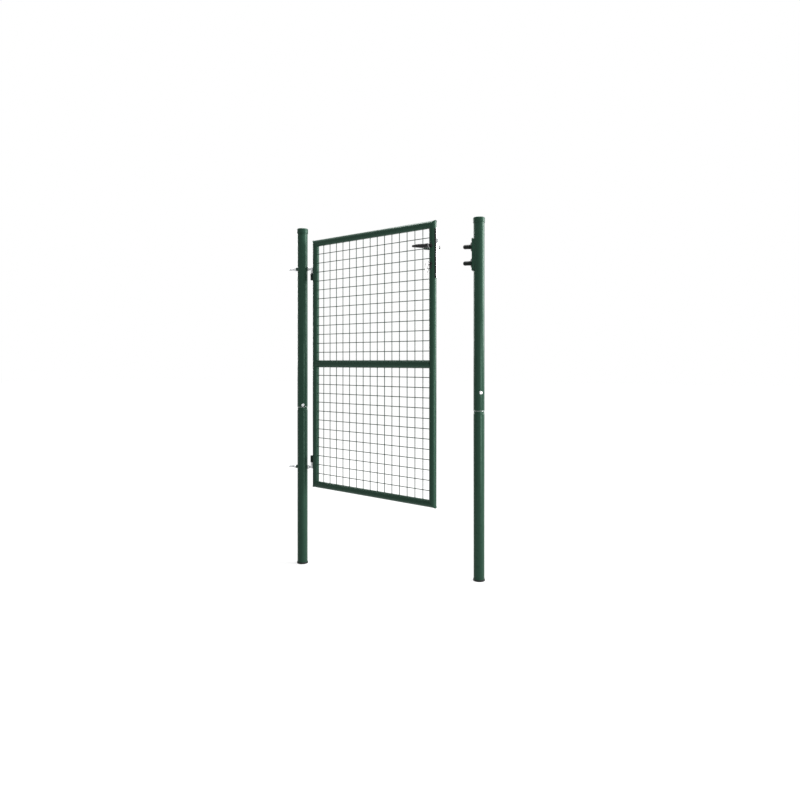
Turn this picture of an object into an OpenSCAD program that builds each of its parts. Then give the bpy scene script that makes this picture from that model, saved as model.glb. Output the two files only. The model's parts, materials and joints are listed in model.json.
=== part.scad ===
// Welded-mesh garden gate on two round posts.
// Frame: origin at the centre of the hinge post's foot, +X towards the latch post,
// -Y the side the leaf opens to, +Z up. The leaf is drawn partly open.

/* [Posts] */
// Height of a post with its cap and foot
post_h = 1900; // [1700:10:2200]
// Outside diameter of a post
post_d = 58; // [50:1:70]
// Wall of the post tube
post_wall = 2; // [1.5:0.5:3]
// Height of the joint between a post's two sections
joint_z = 887; // [700:1:1000]
// Length of the lower section that slides inside the upper one
spigot_l = 110; // [105:5:140]
// Height of a post cap's skirt
cap_h = 28; // [20:1:40]
// Height of a post foot's rim
foot_h = 9; // [6:1:20]

/* [Leaf] */
// Width of the leaf over its stiles
leaf_w = 860; // [700:10:1100]
// Height of the leaf over its rails
leaf_h = 1390; // [1100:10:1440]
// Height of the leaf's lower edge above the ground
ground_gap = 437; // [400:1:450]
// Outside diameter of the stiles and the top and bottom rails
tube_d = 36; // [34:1:40]
// Outside diameter of the middle rail
mid_rail_d = 40; // [36:1:44]
// Wall of the leaf's tubes
tube_wall = 2; // [1.5:0.5:3]
// Angle that the leaf stands open
leaf_open = 22.4; // [0:0.1:60]

/* [Mesh] */
// Distance between neighbouring wires
mesh_pitch = 50; // [40:1:60]
// Thickness of a wire
wire_d = 4; // [3:0.5:6]
// Least distance from the outermost wires to the tubes
mesh_margin = 30; // [20:1:40]

/* [Hinges] */
// Distance from the hinge post's axis to the pintles' axis
pintle_x = 60; // [57:1:75]
// Distance from the pintles' axis to the hinge stile's axis
stile_offset = 31; // [30:1:40]
// Height of the upper hinge rod above the upper socket, and of the lower one below the lower
rod_offset = 28; // [26:1:40]
// Diameter of a hinge rod
rod_d = 12; // [10:1:14]
// Length of threaded rod that stands out behind the hinge post
rod_tail = 53; // [35:1:80]
// Diameter of a pintle pin
pin_d = 12; // [10:1:13]
// Outside diameter of a socket
socket_d = 20; // [19:1:23]
// Length of a socket
socket_l = 38; // [30:1:50]
// Distance from the leaf's top to the upper socket's top
upper_socket_drop = 184; // [150:1:260]
// Distance from the leaf's bottom to the lower socket's bottom
lower_socket_rise = 138; // [120:1:260]

/* [Lock] */
// Height of the lock's face plate
face_plate_h = 240; // [220:1:260]
// Width of the face plate
face_plate_w = 16; // [15:1:22]
// Distance from the leaf's top to the face plate's top
face_plate_drop = 39; // [36:1:60]
// Distance from the leaf's top to the lever spindle
spindle_drop = 122; // [115:1:135]
// Distance from the lever spindle down to the lock cylinder
cylinder_drop = 89; // [85:1:95]
// Distance from the lever spindle up to the latch bolt
bolt_rise = 22; // [20:1:30]
// Distance from the face plate's outer face to the leaf's tube behind it
face_plate_proud = 10; // [5:1:11]
// Length of the latch bolt outside the face plate
bolt_throw = 9; // [6:1:14]
// Length of a lever from its spindle to its tip
lever_l = 92; // [80:1:110]
// Distance from the leaf's middle plane to a lever's grip
lever_reach = 46; // [43:1:56]

/* [Striker] */
// Clear gap between the leaf's latch edge and the latch post
latch_gap = 53; // [50:1:60]
// Height of the striker plate
striker_h = 171; // [165:1:200]
// Distance from the leaf's top to the striker plate's top
striker_drop = 35; // [25:1:45]
// Distance that the striker plate stands off the post
striker_stand = 6; // [6:1:10]
// Distance between the two stop pins
stop_spacing = 87; // [80:1:100]
// Diameter of a stop pin's sleeve
stop_d = 24; // [20:1:26]
// Length of a stop pin from the striker plate
stop_l = 56; // [50:1:58]

/* [Hidden] */
$fn = 64;

// clearances
fit = 0.3;            // between pieces that slide into one another
seat = 0.3;           // between pieces that bear on one another
bore_slack = 0.5;     // round bolts and rods in drilled holes

// posts
post_r = post_d / 2;
post_bore_r = post_r - post_wall;
cap_wall = 2;
cap_r = post_r + fit + cap_wall;
cap_round = 5;
foot_base = 3;
neck_h = 17;          // narrowed length that shows below the joint
neck_inset = 1.4;
neck_taper = 4;
bolt_azimuth = -60;   // direction that the joint bolts face
bolt_head_d = 17;
bolt_head_h = 6;
bolt_shank_d = 8;
bolt_l = 22;
hinge_bolt_z = joint_z + 11;
latch_bolt_z = joint_z + 95;

// leaf, in its own frame: X from the pintles' axis, Y across, Z from the ground
tube_r = tube_d / 2;
mid_rail_r = mid_rail_d / 2;
leaf_top = ground_gap + leaf_h;
hinge_stile_x = stile_offset;
leaf_edge_x = hinge_stile_x - tube_r;
latch_stile_x = leaf_edge_x + leaf_w - tube_r;
mid_x = (hinge_stile_x + latch_stile_x) / 2;
mid_rail_z = ground_gap + leaf_h / 2;
opening_w = leaf_w - 2 * tube_d;
panel_h = (leaf_h - 2 * tube_d - mid_rail_d) / 2;
wires_across = floor((opening_w - 2 * mesh_margin) / mesh_pitch) + 1;
wires_up = floor((panel_h - 2 * mesh_margin) / mesh_pitch) + 1;
wire_layer = wire_d * 0.4;      // each wire layer's distance from the middle plane

// hinges
rod_r = rod_d / 2;
pin_r = pin_d / 2;
root_d = pin_d + 4;
upper_socket_z = leaf_top - upper_socket_drop - socket_l;
lower_socket_z = ground_gap + lower_socket_rise;
upper_rod_z = upper_socket_z + socket_l + rod_offset;
lower_rod_z = lower_socket_z - rod_offset;
nut_across = 19;
nut_h = 10;
lock_nut_h = 7;                            // inner nut, beside the saddle
washer_d = 22;
washer_h = 2.5;
saddle_d = 20;
saddle_h = 7;
web_w = 14;

// lock
plate_t = 2.5;
plate_x = latch_stile_x + tube_r + face_plate_proud - plate_t;   // inner face of the face plate
plate_top = leaf_top - face_plate_drop;
plate_bottom = plate_top - face_plate_h;
plate_screw_inset = 9;
plate_screw_d = 5;
plate_screw_head_d = 9;
case_w = face_plate_w - 1;
case_back_x = latch_stile_x - 9;
case_margin = 0.5;
spindle_z = leaf_top - spindle_drop;
cylinder_z = spindle_z - cylinder_drop;
bolt_z = spindle_z + bolt_rise;
bolt_w = 12;
bolt_h = 24;
bolt_back_x = latch_stile_x + 3;
bolt_tip_x = plate_x + plate_t + bolt_throw;
bolt_travel = bolt_throw - 1;
spindle_d = 9;
rose_d = 20;
rose_h = 5;
rose_y = tube_r + rose_h - 1;              // outer face of a rose
neck_d = 13;
grip_t = 14;
grip_r_tip = 5;
grip_r_belly = 9.5;
grip_r_root = 7.5;
grip_belly_at = 0.36;                      // share of the lever's length
grip_drop = 3;                             // of the belly's middle below the spindle's axis
grip_lift = 2;                             // of the tip's middle above it
cylinder_half_l = 22;
cylinder_d = 17;
cylinder_lug_w = 10;
cylinder_lug_h = 25;                       // from the cylinder's axis down
key_t = 2.2;
key_bow_d = 24;
key_hole_d = 8;
key_hole_inset = 5;                        // from the bow's centre to its hole's centre
key_shank_w = 8;
key_shank_l = 10;                          // of the key in the cylinder, outside it
key_blade_l = 28;                          // of the spare key
key_ring_d = 20;                           // to the middle of its wire
key_ring_wire = 1.8;
key_y = -cylinder_half_l - key_shank_l - key_bow_d / 2;   // middle of the key's bow
key_hole_y = key_y - key_hole_inset;
key_ring_z = cylinder_z - key_hole_d / 2 + key_ring_wire / 2 + seat - key_ring_d / 2;
spare_hole_z = key_ring_z - key_ring_d / 2 + key_ring_wire / 2 + seat - key_hole_d / 2;

// striker
latch_post_x = pintle_x + leaf_edge_x + leaf_w + latch_gap + post_r;
striker_t = 4;
striker_x = latch_post_x - post_r - striker_stand;    // face towards the leaf
striker_top = leaf_top - striker_drop;
striker_bottom = striker_top - striker_h;
striker_leg_y = 17;
stop_y = tube_r + stop_d / 2 - 2;          // 5 mm from the closed leaf
flange_d = 48;
flange_t = 3;
stop_nut_across = 16;
stop_nut_h = 10;                           // holds a flange off the striker plate
striker_back_y = stop_y + flange_d / 2 + 2;
upper_stop_z = striker_top - 39.5;
lower_stop_z = upper_stop_z - stop_spacing;
stop_bolt_d = 8;
stop_bolt_l = 8;                           // behind the striker plate
striker_screw_d = 6;
striker_screw_l = 24;
striker_head_d = 17;
striker_head_h = 5;
striker_screw_heights = [striker_bottom + 9, striker_top - 9];

green = [0.17, 0.27, 0.22];
black = [0.06, 0.06, 0.07];
zinc = [0.82, 0.83, 0.84];

// ---- placing ----

// Carries a piece from the leaf's frame to its place on the pintles
module in_leaf() {
    translate([pintle_x, 0, 0])
        rotate([0, 0, -leaf_open])
            children();
}

// A cylinder along X from x0 to x1
module bar_x(r, x0, x1) {
    translate([x0, 0, 0])
        rotate([0, 90, 0])
            cylinder(r = r, h = x1 - x0);
}

// A cylinder along Y from y0 to y1
module bar_y(r, y0, y1) {
    translate([0, y0, 0])
        rotate([-90, 0, 0])
            cylinder(r = r, h = y1 - y0);
}

// ---- posts ----

// Lower section: full width, then narrowed so that its top slides into the upper section
module post_lower() {
    spigot_r = post_bore_r - fit;
    neck_r = post_r - neck_inset;
    shoulder_z = joint_z - neck_h;
    rotate_extrude()
        polygon([
            [post_bore_r, foot_base + seat], [post_r, foot_base + seat],
            [post_r, shoulder_z], [neck_r, shoulder_z + neck_taper],
            [neck_r, joint_z - seat - neck_taper], [spigot_r, joint_z - seat],
            [spigot_r, joint_z + spigot_l], [spigot_r - post_wall, joint_z + spigot_l],
            [spigot_r - post_wall, joint_z - neck_taper - seat],
            [post_bore_r - neck_inset, shoulder_z + neck_taper - seat],
            [post_bore_r, shoulder_z - neck_taper]
        ]);
}

module post_upper() {
    translate([0, 0, joint_z])
        difference() {
            cylinder(r = post_r, h = post_h - cap_wall - seat - joint_z);
            translate([0, 0, -1])
                cylinder(r = post_bore_r, h = post_h);
        }
}

module post_cap() {
    ceiling_z = post_h - cap_wall;
    rotate_extrude()
        difference() {
            union() {
                translate([0, post_h - cap_h])
                    square([cap_r, cap_h - cap_round]);
                translate([0, post_h - cap_round - 1])
                    square([cap_r - cap_round, cap_round + 1]);
                intersection() {
                    translate([cap_r - cap_round, post_h - cap_round])
                        circle(r = cap_round);
                    square([cap_r, post_h]);
                }
            }
            translate([-1, post_h - cap_h - 1])
                square([post_r + fit + 1, ceiling_z - post_h + cap_h + 1]);
        }
}

module post_foot() {
    difference() {
        cylinder(r = cap_r, h = foot_h);
        translate([0, 0, foot_base])
            cylinder(r = post_r + fit, h = foot_h);
    }
}

// Hole for a joint bolt, through the near wall of both sections
module joint_hole(z) {
    translate([0, 0, z])
        rotate([0, 0, bolt_azimuth])
            bar_x(bolt_shank_d / 2 + bore_slack, post_r - bolt_l, post_r + 5);
}

module joint_bolt(z) {
    translate([0, 0, z])
        rotate([0, 0, bolt_azimuth]) {
            bar_x(bolt_shank_d / 2, post_r - bolt_l, post_r + 2);
            translate([post_r, 0, 0])
                rotate([0, 90, 0])
                    bolt_head();
        }
}

// Domed head whose rim stands on the round post
module bolt_head() {
    rim_h = 2;
    dome_r = (pow(bolt_head_d / 2, 2) + pow(bolt_head_h - rim_h, 2)) / (2 * (bolt_head_h - rim_h));
    cylinder(d = bolt_head_d, h = rim_h);
    intersection() {
        translate([0, 0, bolt_head_h - dome_r])
            sphere(r = dome_r);
        translate([0, 0, rim_h])
            cylinder(d = bolt_head_d, h = bolt_head_h);
    }
}

// Holes for both hinge rods
module rod_holes() {
    for (z = [upper_rod_z, lower_rod_z])
        translate([0, 0, z])
            bar_x(rod_r + bore_slack, -post_d, post_d);
}

module hinge_post_lower() {
    color(green) difference() {
        post_lower();
        joint_hole(hinge_bolt_z);
        rod_holes();
    }
}

module hinge_post_upper() {
    color(green) difference() {
        post_upper();
        joint_hole(hinge_bolt_z);
        rod_holes();
    }
}

module hinge_post_cap() {
    color(green) post_cap();
}

module hinge_post_foot() {
    color(black) post_foot();
}

module hinge_post_bolt() {
    color(zinc) joint_bolt(hinge_bolt_z);
}

module latch_post_lower() {
    color(green) translate([latch_post_x, 0, 0]) difference() {
        post_lower();
        joint_hole(latch_bolt_z);
    }
}

module latch_post_upper() {
    color(green) difference() {
        translate([latch_post_x, 0, 0]) difference() {
            post_upper();
            joint_hole(latch_bolt_z);
        }
        striker_screw_holes();
    }
}

module latch_post_cap() {
    color(green) translate([latch_post_x, 0, 0]) post_cap();
}

module latch_post_foot() {
    color(black) translate([latch_post_x, 0, 0]) post_foot();
}

module latch_post_bolt() {
    color(zinc) translate([latch_post_x, 0, 0]) joint_bolt(latch_bolt_z);
}

// ---- hinges ----

// Threaded rod through the post with an upright pin at its end
module pintle() {
    root_l = rod_offset - seat;
    bar_x(rod_r, -post_r - rod_tail, pintle_x);
    translate([pintle_x, 0, -rod_r - 1])
        cylinder(d = root_d, h = root_l + rod_r + 1);
    translate([pintle_x, 0, 0])
        cylinder(r = pin_r, h = rod_offset + socket_l - 1);
}

// The upper pin points down, so that the leaf can't be lifted off
module upper_pintle() {
    color(zinc) translate([0, 0, upper_rod_z]) mirror([0, 0, 1]) pintle();
}

module lower_pintle() {
    color(zinc) translate([0, 0, lower_rod_z]) pintle();
}

// A hexagon nut along X with flat sides towards -Y and +Y, from x0 to x0 + h
module hex_nut(across, x0, h) {
    translate([x0, 0, 0])
        rotate([0, 90, 0])
            cylinder(d = across / cos(30), h = h, $fn = 6);
}

// Nuts that clamp a rod between the saddles: one with a washer outside, a thinner one inside
module rod_nuts(rod_z) {
    inner_x = post_r + saddle_h + seat;
    washer_x = -inner_x - washer_h;
    translate([0, 0, rod_z]) difference() {
        union() {
            bar_x(washer_d / 2, washer_x, -inner_x);
            hex_nut(nut_across, washer_x - nut_h, nut_h);
            hex_nut(nut_across, inner_x, lock_nut_h);
        }
        bar_x(rod_r + fit, -2 * post_d, 2 * post_d);
    }
}

module upper_hinge_nuts() {
    color(zinc) rod_nuts(upper_rod_z);
}

module lower_hinge_nuts() {
    color(zinc) rod_nuts(lower_rod_z);
}

// Collars that give the nuts a flat seat on both sides of the round post
module rod_saddle(rod_z) {
    saddle_l = post_r + saddle_h;
    difference() {
        translate([0, 0, rod_z])
            bar_x(saddle_d / 2, -saddle_l, saddle_l);
        cylinder(r = post_r + seat, h = post_h);
        translate([0, 0, rod_z])
            bar_x(rod_r + fit, -saddle_l - 1, saddle_l + 1);
    }
}

module upper_saddle() {
    color(green) rod_saddle(upper_rod_z);
}

module lower_saddle() {
    color(green) rod_saddle(lower_rod_z);
}

// Bush that turns on a pintle, with the web that joins it to the hinge stile
module socket(z) {
    color(black) in_leaf() difference() {
        union() {
            translate([0, 0, z])
                cylinder(d = socket_d, h = socket_l);
            translate([0, -web_w / 2, z])
                cube([stile_offset, web_w, socket_l]);
        }
        translate([0, 0, z - 1])
            cylinder(r = pin_r + fit, h = socket_l + 2);
        translate([hinge_stile_x, 0, z - 1])
            cylinder(r = tube_r, h = socket_l + 2);
    }
}

module upper_socket() {
    socket(upper_socket_z);
}

module lower_socket() {
    socket(lower_socket_z);
}

// ---- leaf ----

// A hollow tube along X
module tube_x(r, x0, x1) {
    difference() {
        bar_x(r, x0, x1);
        bar_x(r - tube_wall, x0 - 1, x1 + 1);
    }
}

// A rail drawn along X between the leaf's edges, mitred at both ends. The slanted ends
// run outwards on the side that side names, 1 for up.
module mitred_rail(z, side) {
    long = leaf_w / 2;
    short = long - tube_d;
    translate([mid_x, 0, z]) intersection() {
        tube_x(tube_r, -long, long);
        rotate([90, 0, 0]) translate([0, 0, -tube_d])
            linear_extrude(2 * tube_d)
                polygon([
                    [-long, side * tube_r], [long, side * tube_r],
                    [short, -side * tube_r], [-short, -side * tube_r]
                ]);
    }
}

// A stile along Z, mitred at both ends; side is 1 when its outer edge faces +X
module mitred_stile(x, side) {
    half = leaf_h / 2;
    inner = half - tube_d;
    translate([x, 0, ground_gap + half]) intersection() {
        translate([0, 0, -half]) difference() {
            cylinder(r = tube_r, h = leaf_h);
            translate([0, 0, -1])
                cylinder(r = tube_r - tube_wall, h = leaf_h + 2);
        }
        rotate([90, 0, 0]) translate([0, 0, -tube_d])
            linear_extrude(2 * tube_d)
                polygon([
                    [side * tube_r, half], [side * tube_r, -half],
                    [-side * tube_r, -inner], [-side * tube_r, inner]
                ]);
    }
}

module hinge_stile() {
    color(green) in_leaf() mitred_stile(hinge_stile_x, -1);
}

module latch_stile() {
    color(green) in_leaf() difference() {
        mitred_stile(latch_stile_x, 1);
        translate([latch_stile_x + tube_r / 2, -face_plate_w / 2 - fit, plate_bottom - fit])
            cube([tube_r, face_plate_w + 2 * fit, face_plate_h + 2 * fit]);
        translate([latch_stile_x, 0, spindle_z])
            bar_y(spindle_d / 2 + bore_slack, -tube_d, tube_d);
        cylinder_profile(fit, tube_d);
    }
}

module top_rail() {
    color(green) in_leaf() mitred_rail(leaf_top - tube_r, 1);
}

module bottom_rail() {
    color(green) in_leaf() mitred_rail(ground_gap + tube_r, -1);
}

// The middle rail's ends are coped round the stiles
module middle_rail() {
    ear = tube_r * 0.6;
    color(green) in_leaf() difference() {
        translate([0, 0, mid_rail_z])
            tube_x(mid_rail_r, hinge_stile_x + ear, latch_stile_x - ear);
        for (x = [hinge_stile_x, latch_stile_x])
            translate([x, 0, mid_rail_z - mid_rail_d])
                cylinder(r = tube_r, h = 2 * mid_rail_d);
    }
}

// Welded wires that fill one opening, whose middle is at height z
module mesh_panel(z) {
    wire_l = opening_w - 2 * seat;
    wire_h = panel_h - 2 * seat;
    color(green) in_leaf() translate([mid_x, 0, z]) {
        for (i = [0 : wires_across - 1])
            translate([(i - (wires_across - 1) / 2) * mesh_pitch, wire_layer, 0])
                cube([wire_d, wire_d, wire_h], center = true);
        for (i = [0 : wires_up - 1])
            translate([0, -wire_layer, (i - (wires_up - 1) / 2) * mesh_pitch])
                cube([wire_l, wire_d, wire_d], center = true);
    }
}

module upper_mesh() {
    mesh_panel(mid_rail_z + mid_rail_r + panel_h / 2);
}

module lower_mesh() {
    mesh_panel(mid_rail_z - mid_rail_r - panel_h / 2);
}

// ---- lock ----

module lock_case() {
    color(black) in_leaf() difference() {
        translate([case_back_x, -case_w / 2, plate_bottom + case_margin])
            cube([plate_x - seat - case_back_x, case_w, face_plate_h - 2 * case_margin]);
        translate([latch_stile_x, 0, spindle_z])
            bar_y(spindle_d / 2 + bore_slack, -tube_d, tube_d);
        cylinder_profile(fit, tube_d);
        bolt_channel();
    }
}

// The space that the latch bolt slides in
module bolt_channel() {
    back = bolt_back_x - bolt_travel - 0.5;
    translate([back, -bolt_w / 2 - fit, bolt_z - bolt_h / 2 - fit])
        cube([tube_d, bolt_w + 2 * fit, bolt_h + 2 * fit]);
}

module lock_face_plate() {
    color(zinc) in_leaf() difference() {
        translate([plate_x, -face_plate_w / 2, plate_bottom])
            cube([plate_t, face_plate_w, face_plate_h]);
        bolt_channel();
        for (z = [plate_bottom + plate_screw_inset, plate_top - plate_screw_inset])
            translate([0, 0, z])
                bar_x(plate_screw_d / 2 + fit, plate_x - 1, plate_x + plate_t + 1);
    }
}

// Two screws that hold the face plate to the case
module face_plate_screws() {
    color(zinc) in_leaf()
        for (z = [plate_bottom + plate_screw_inset, plate_top - plate_screw_inset])
            translate([0, 0, z]) {
                bar_x(plate_screw_d / 2, plate_x, plate_x + plate_t + 1);
                bar_x(plate_screw_head_d / 2, plate_x + plate_t, plate_x + plate_t + 2);
            }
}

// Latch bolt with a slanted nose that rides over the striker
module latch_bolt() {
    nose = bolt_throw - 2;
    color(zinc) in_leaf() translate([0, 0, bolt_z - bolt_h / 2])
        linear_extrude(bolt_h)
            polygon([
                [bolt_back_x, -bolt_w / 2], [bolt_tip_x, -bolt_w / 2],
                [bolt_tip_x, -bolt_w / 2 + 2], [bolt_tip_x - nose, bolt_w / 2],
                [bolt_back_x, bolt_w / 2]
            ]);
}

// Outline of the lock cylinder, grown by grow, as a solid along Y
module cylinder_profile(grow, half_l) {
    translate([latch_stile_x, 0, cylinder_z]) {
        bar_y(cylinder_d / 2 + grow, -half_l, half_l);
        translate([-cylinder_lug_w / 2 - grow, -half_l, -cylinder_lug_h - grow])
            cube([cylinder_lug_w + 2 * grow, 2 * half_l, cylinder_lug_h]);
    }
}

module lock_cylinder() {
    color(zinc) in_leaf() cylinder_profile(0, cylinder_half_l);
}

// Collar round the spindle, seated on the round stile; side is -1 in front
module rose(side) {
    color(black) in_leaf() difference() {
        translate([latch_stile_x, 0, spindle_z])
            bar_y(rose_d / 2, min(0, side * rose_y), max(0, side * rose_y));
        translate([latch_stile_x, 0, spindle_z])
            bar_y(spindle_d / 2 + bore_slack, -tube_d, tube_d);
        translate([latch_stile_x, 0, spindle_z - rose_d])
            cylinder(r = tube_r, h = 2 * rose_d);
    }
}

module front_rose() {
    rose(-1);
}

module back_rose() {
    rose(1);
}

// Handle: a neck round the spindle and a tapered grip towards the hinge side
module lever(side) {
    neck_y = rose_y + 0.5;
    color(black) in_leaf() translate([latch_stile_x, 0, spindle_z]) difference() {
        union() {
            bar_y(neck_d / 2, min(side * neck_y, side * lever_reach),
                max(side * neck_y, side * lever_reach));
            translate([0, side * lever_reach, 0]) rotate([90, 0, 0])
                translate([0, 0, -grip_t / 2])
                    linear_extrude(grip_t)
                        grip_outline();
        }
        bar_y(spindle_d / 2 + fit, -lever_reach + grip_t / 4, lever_reach - grip_t / 4);
    }
}

// Side view of the grip: nearly straight above, with a belly below
module grip_outline() {
    hull() {
        circle(r = grip_r_root, $fn = 32);
        translate([-lever_l * grip_belly_at, -grip_drop])
            circle(r = grip_r_belly, $fn = 32);
        translate([-lever_l + grip_r_tip, grip_lift])
            circle(r = grip_r_tip, $fn = 32);
    }
}

module front_lever() {
    lever(-1);
}

module back_lever() {
    lever(1);
}

module spindle() {
    end_y = lever_reach - grip_t / 4 - seat;
    color(zinc) in_leaf() translate([latch_stile_x, 0, spindle_z])
        bar_y(spindle_d / 2, -end_y, end_y);
}

// Outline of a key: a round bow with a hole, and a straight blade that starts at the
// bow and is l long. The bow's middle is the origin and the blade points along +X.
module key_outline(l) {
    difference() {
        union() {
            circle(d = key_bow_d);
            translate([0, -key_shank_w / 2])
                square([key_bow_d / 2 + l, key_shank_w]);
        }
        translate([-key_hole_inset, 0])
            circle(d = key_hole_d);
    }
}

// Key that stands in the front of the cylinder
module key() {
    color(zinc) in_leaf() translate([latch_stile_x - key_t / 2, key_y, cylinder_z])
        rotate([90, 0, 90])
            linear_extrude(key_t)
                key_outline(key_shank_l - seat);
}

// Ring that hangs in the key's hole
module key_ring() {
    color(zinc) in_leaf() translate([latch_stile_x, key_hole_y, key_ring_z])
        rotate([90, 0, 0])
            rotate_extrude()
                translate([key_ring_d / 2, 0])
                    circle(d = key_ring_wire);
}

// Spare key that hangs from the ring, blade downwards
module spare_key() {
    color(zinc) in_leaf()
        translate([latch_stile_x - key_t / 2, key_hole_y, spare_hole_z - key_hole_inset])
            rotate([90, 90, 90])
                linear_extrude(key_t)
                    key_outline(key_blade_l);
}

// ---- striker ----

// Plate with two legs that stand on the round post; its rear half carries the stop pins
module striker_plate() {
    color(green) difference() {
        union() {
            translate([striker_x, -striker_leg_y - striker_t, striker_bottom])
                cube([striker_t, striker_leg_y + striker_t + striker_back_y, striker_h]);
            for (y = [-striker_leg_y - striker_t, striker_leg_y])
                translate([striker_x, y, striker_bottom])
                    cube([striker_stand + post_r, striker_t, striker_h]);
        }
        translate([latch_post_x, 0, 0])
            cylinder(r = post_r, h = post_h);
        striker_screw_holes();
        for (z = [upper_stop_z, lower_stop_z])
            translate([0, stop_y, z])
                bar_x(stop_bolt_d / 2 + bore_slack, striker_x - 1, striker_x + striker_t + 1);
    }
}

// Holes for the striker's screws, through the plate and the near wall of the post
module striker_screw_holes() {
    for (z = striker_screw_heights)
        translate([0, 0, z])
            bar_x(striker_screw_d / 2 + bore_slack, striker_x - 1, latch_post_x);
}

module striker_screws() {
    color(green)
        for (z = striker_screw_heights)
            translate([0, 0, z]) {
                bar_x(striker_screw_d / 2, striker_x - 1, striker_x + striker_screw_l);
                translate([striker_x - seat, 0, 0])
                    rotate([0, -90, 0])
                        cylinder(d = striker_head_d, h = striker_head_h);
            }
}

// Stop pin: a round-ended sleeve on a bolt through the striker plate
module stop_pin(z) {
    dome_r = stop_d / 2;
    sleeve_x = striker_x - stop_nut_h - flange_t - seat;
    color(black) translate([0, stop_y, z]) {
        bar_x(dome_r, striker_x - stop_l + dome_r, sleeve_x);
        translate([striker_x - stop_l + dome_r, 0, 0])
            sphere(r = dome_r);
        bar_x(stop_bolt_d / 2, sleeve_x - 1, striker_x + striker_t + stop_bolt_l);
    }
}

module upper_stop_pin() {
    stop_pin(upper_stop_z);
}

module lower_stop_pin() {
    stop_pin(lower_stop_z);
}

// Disc behind each sleeve, held off the striker plate by a nut
module stop_pin_flanges() {
    disc_x = striker_x - stop_nut_h - flange_t;
    color(green)
        for (z = [upper_stop_z, lower_stop_z])
            translate([0, stop_y, z]) difference() {
                union() {
                    bar_x(flange_d / 2, disc_x, disc_x + flange_t);
                    hex_nut(stop_nut_across, disc_x + flange_t - 1, stop_nut_h + 1);
                }
                bar_x(stop_bolt_d / 2 + bore_slack, disc_x - 1, striker_x + 1);
            }
}

hinge_post_lower();
hinge_post_upper();
hinge_post_cap();
hinge_post_foot();
hinge_post_bolt();
latch_post_lower();
latch_post_upper();
latch_post_cap();
latch_post_foot();
latch_post_bolt();
upper_pintle();
lower_pintle();
upper_hinge_nuts();
lower_hinge_nuts();
upper_saddle();
lower_saddle();
upper_socket();
lower_socket();
hinge_stile();
latch_stile();
top_rail();
middle_rail();
bottom_rail();
upper_mesh();
lower_mesh();
lock_case();
lock_face_plate();
face_plate_screws();
latch_bolt();
lock_cylinder();
front_rose();
back_rose();
front_lever();
back_lever();
spindle();
key();
key_ring();
spare_key();
striker_plate();
striker_screws();
upper_stop_pin();
lower_stop_pin();
stop_pin_flanges();
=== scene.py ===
"""Welded-mesh garden gate on two round posts: finishes, meshes and studio.

Lengths are metres in the CAD frame: origin at the foot of the hinge post, +X towards
the latch post, +Z up. Pieces of the leaf are modelled in the leaf's own frame (X from
the pintles' axis, Y across, Z from the ground) and then turned to where it stands.
"""

import sys

import json
import logging
import math
from abc import ABC, abstractmethod
from collections.abc import Callable, Sequence
from dataclasses import dataclass, field
from enum import Enum

import bmesh
import bpy
from mathutils import Matrix, Vector

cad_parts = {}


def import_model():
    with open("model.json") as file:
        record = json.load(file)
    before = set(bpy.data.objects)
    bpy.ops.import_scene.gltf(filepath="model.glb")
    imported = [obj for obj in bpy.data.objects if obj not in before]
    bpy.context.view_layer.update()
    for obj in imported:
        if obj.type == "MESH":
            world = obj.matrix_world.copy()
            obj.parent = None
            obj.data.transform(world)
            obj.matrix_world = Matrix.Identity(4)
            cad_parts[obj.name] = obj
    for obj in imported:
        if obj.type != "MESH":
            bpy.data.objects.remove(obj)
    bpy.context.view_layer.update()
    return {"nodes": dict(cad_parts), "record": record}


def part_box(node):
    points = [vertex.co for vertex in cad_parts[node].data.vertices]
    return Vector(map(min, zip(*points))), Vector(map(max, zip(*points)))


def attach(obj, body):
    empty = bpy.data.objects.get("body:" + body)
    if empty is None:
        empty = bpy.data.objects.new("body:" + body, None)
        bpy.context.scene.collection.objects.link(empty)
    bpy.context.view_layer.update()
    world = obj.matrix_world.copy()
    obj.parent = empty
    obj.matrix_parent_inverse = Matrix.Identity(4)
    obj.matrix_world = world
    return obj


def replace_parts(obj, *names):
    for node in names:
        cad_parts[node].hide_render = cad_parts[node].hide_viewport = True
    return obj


log = logging.getLogger("gate")

MM = 0.001
HEXAGON_KEY = 2.9 * MM  # from the middle of a bolt's recess to its corners
TINY = 1e-6  # what counts as nothing
CREASE = 32.0  # degrees past which an edge is shaded sharp
# Points round a post, round a tube or nut, round a fitting, and round a pin or screw.
POST_POINTS, TUBE_POINTS, FITTING_POINTS, PIN_POINTS = 80, 72, 64, 48

Ring = list[Vector]
Outline = list[tuple[float, float]]
Triple = tuple[float, float, float]
Socket = bpy.types.NodeSocket
Curve = Callable[[float], float]
Surface = Callable[[float, float], float]


class Body(Enum):
    """The bodies that pieces ride on."""

    POSTS = "posts"
    LEAF = "leaf"
    HANDLE = "handle"
    BOLT = "bolt"


class Slot(Enum):
    """The record's material slots."""

    GREEN = "green_coat"
    BLACK = "black_coat"
    ZINC = "zinc"
    NYLON = "black_nylon"
    PLASTIC = "black_plastic"
    RUBBER = "black_rubber"
    BRIGHT = "bright_steel"


class Side(Enum):
    """The two faces of the leaf."""

    FRONT = -1
    BACK = 1


class Level(Enum):
    """The two hinges, with the direction from each socket to its rod."""

    UPPER = 1
    LOWER = -1


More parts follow.
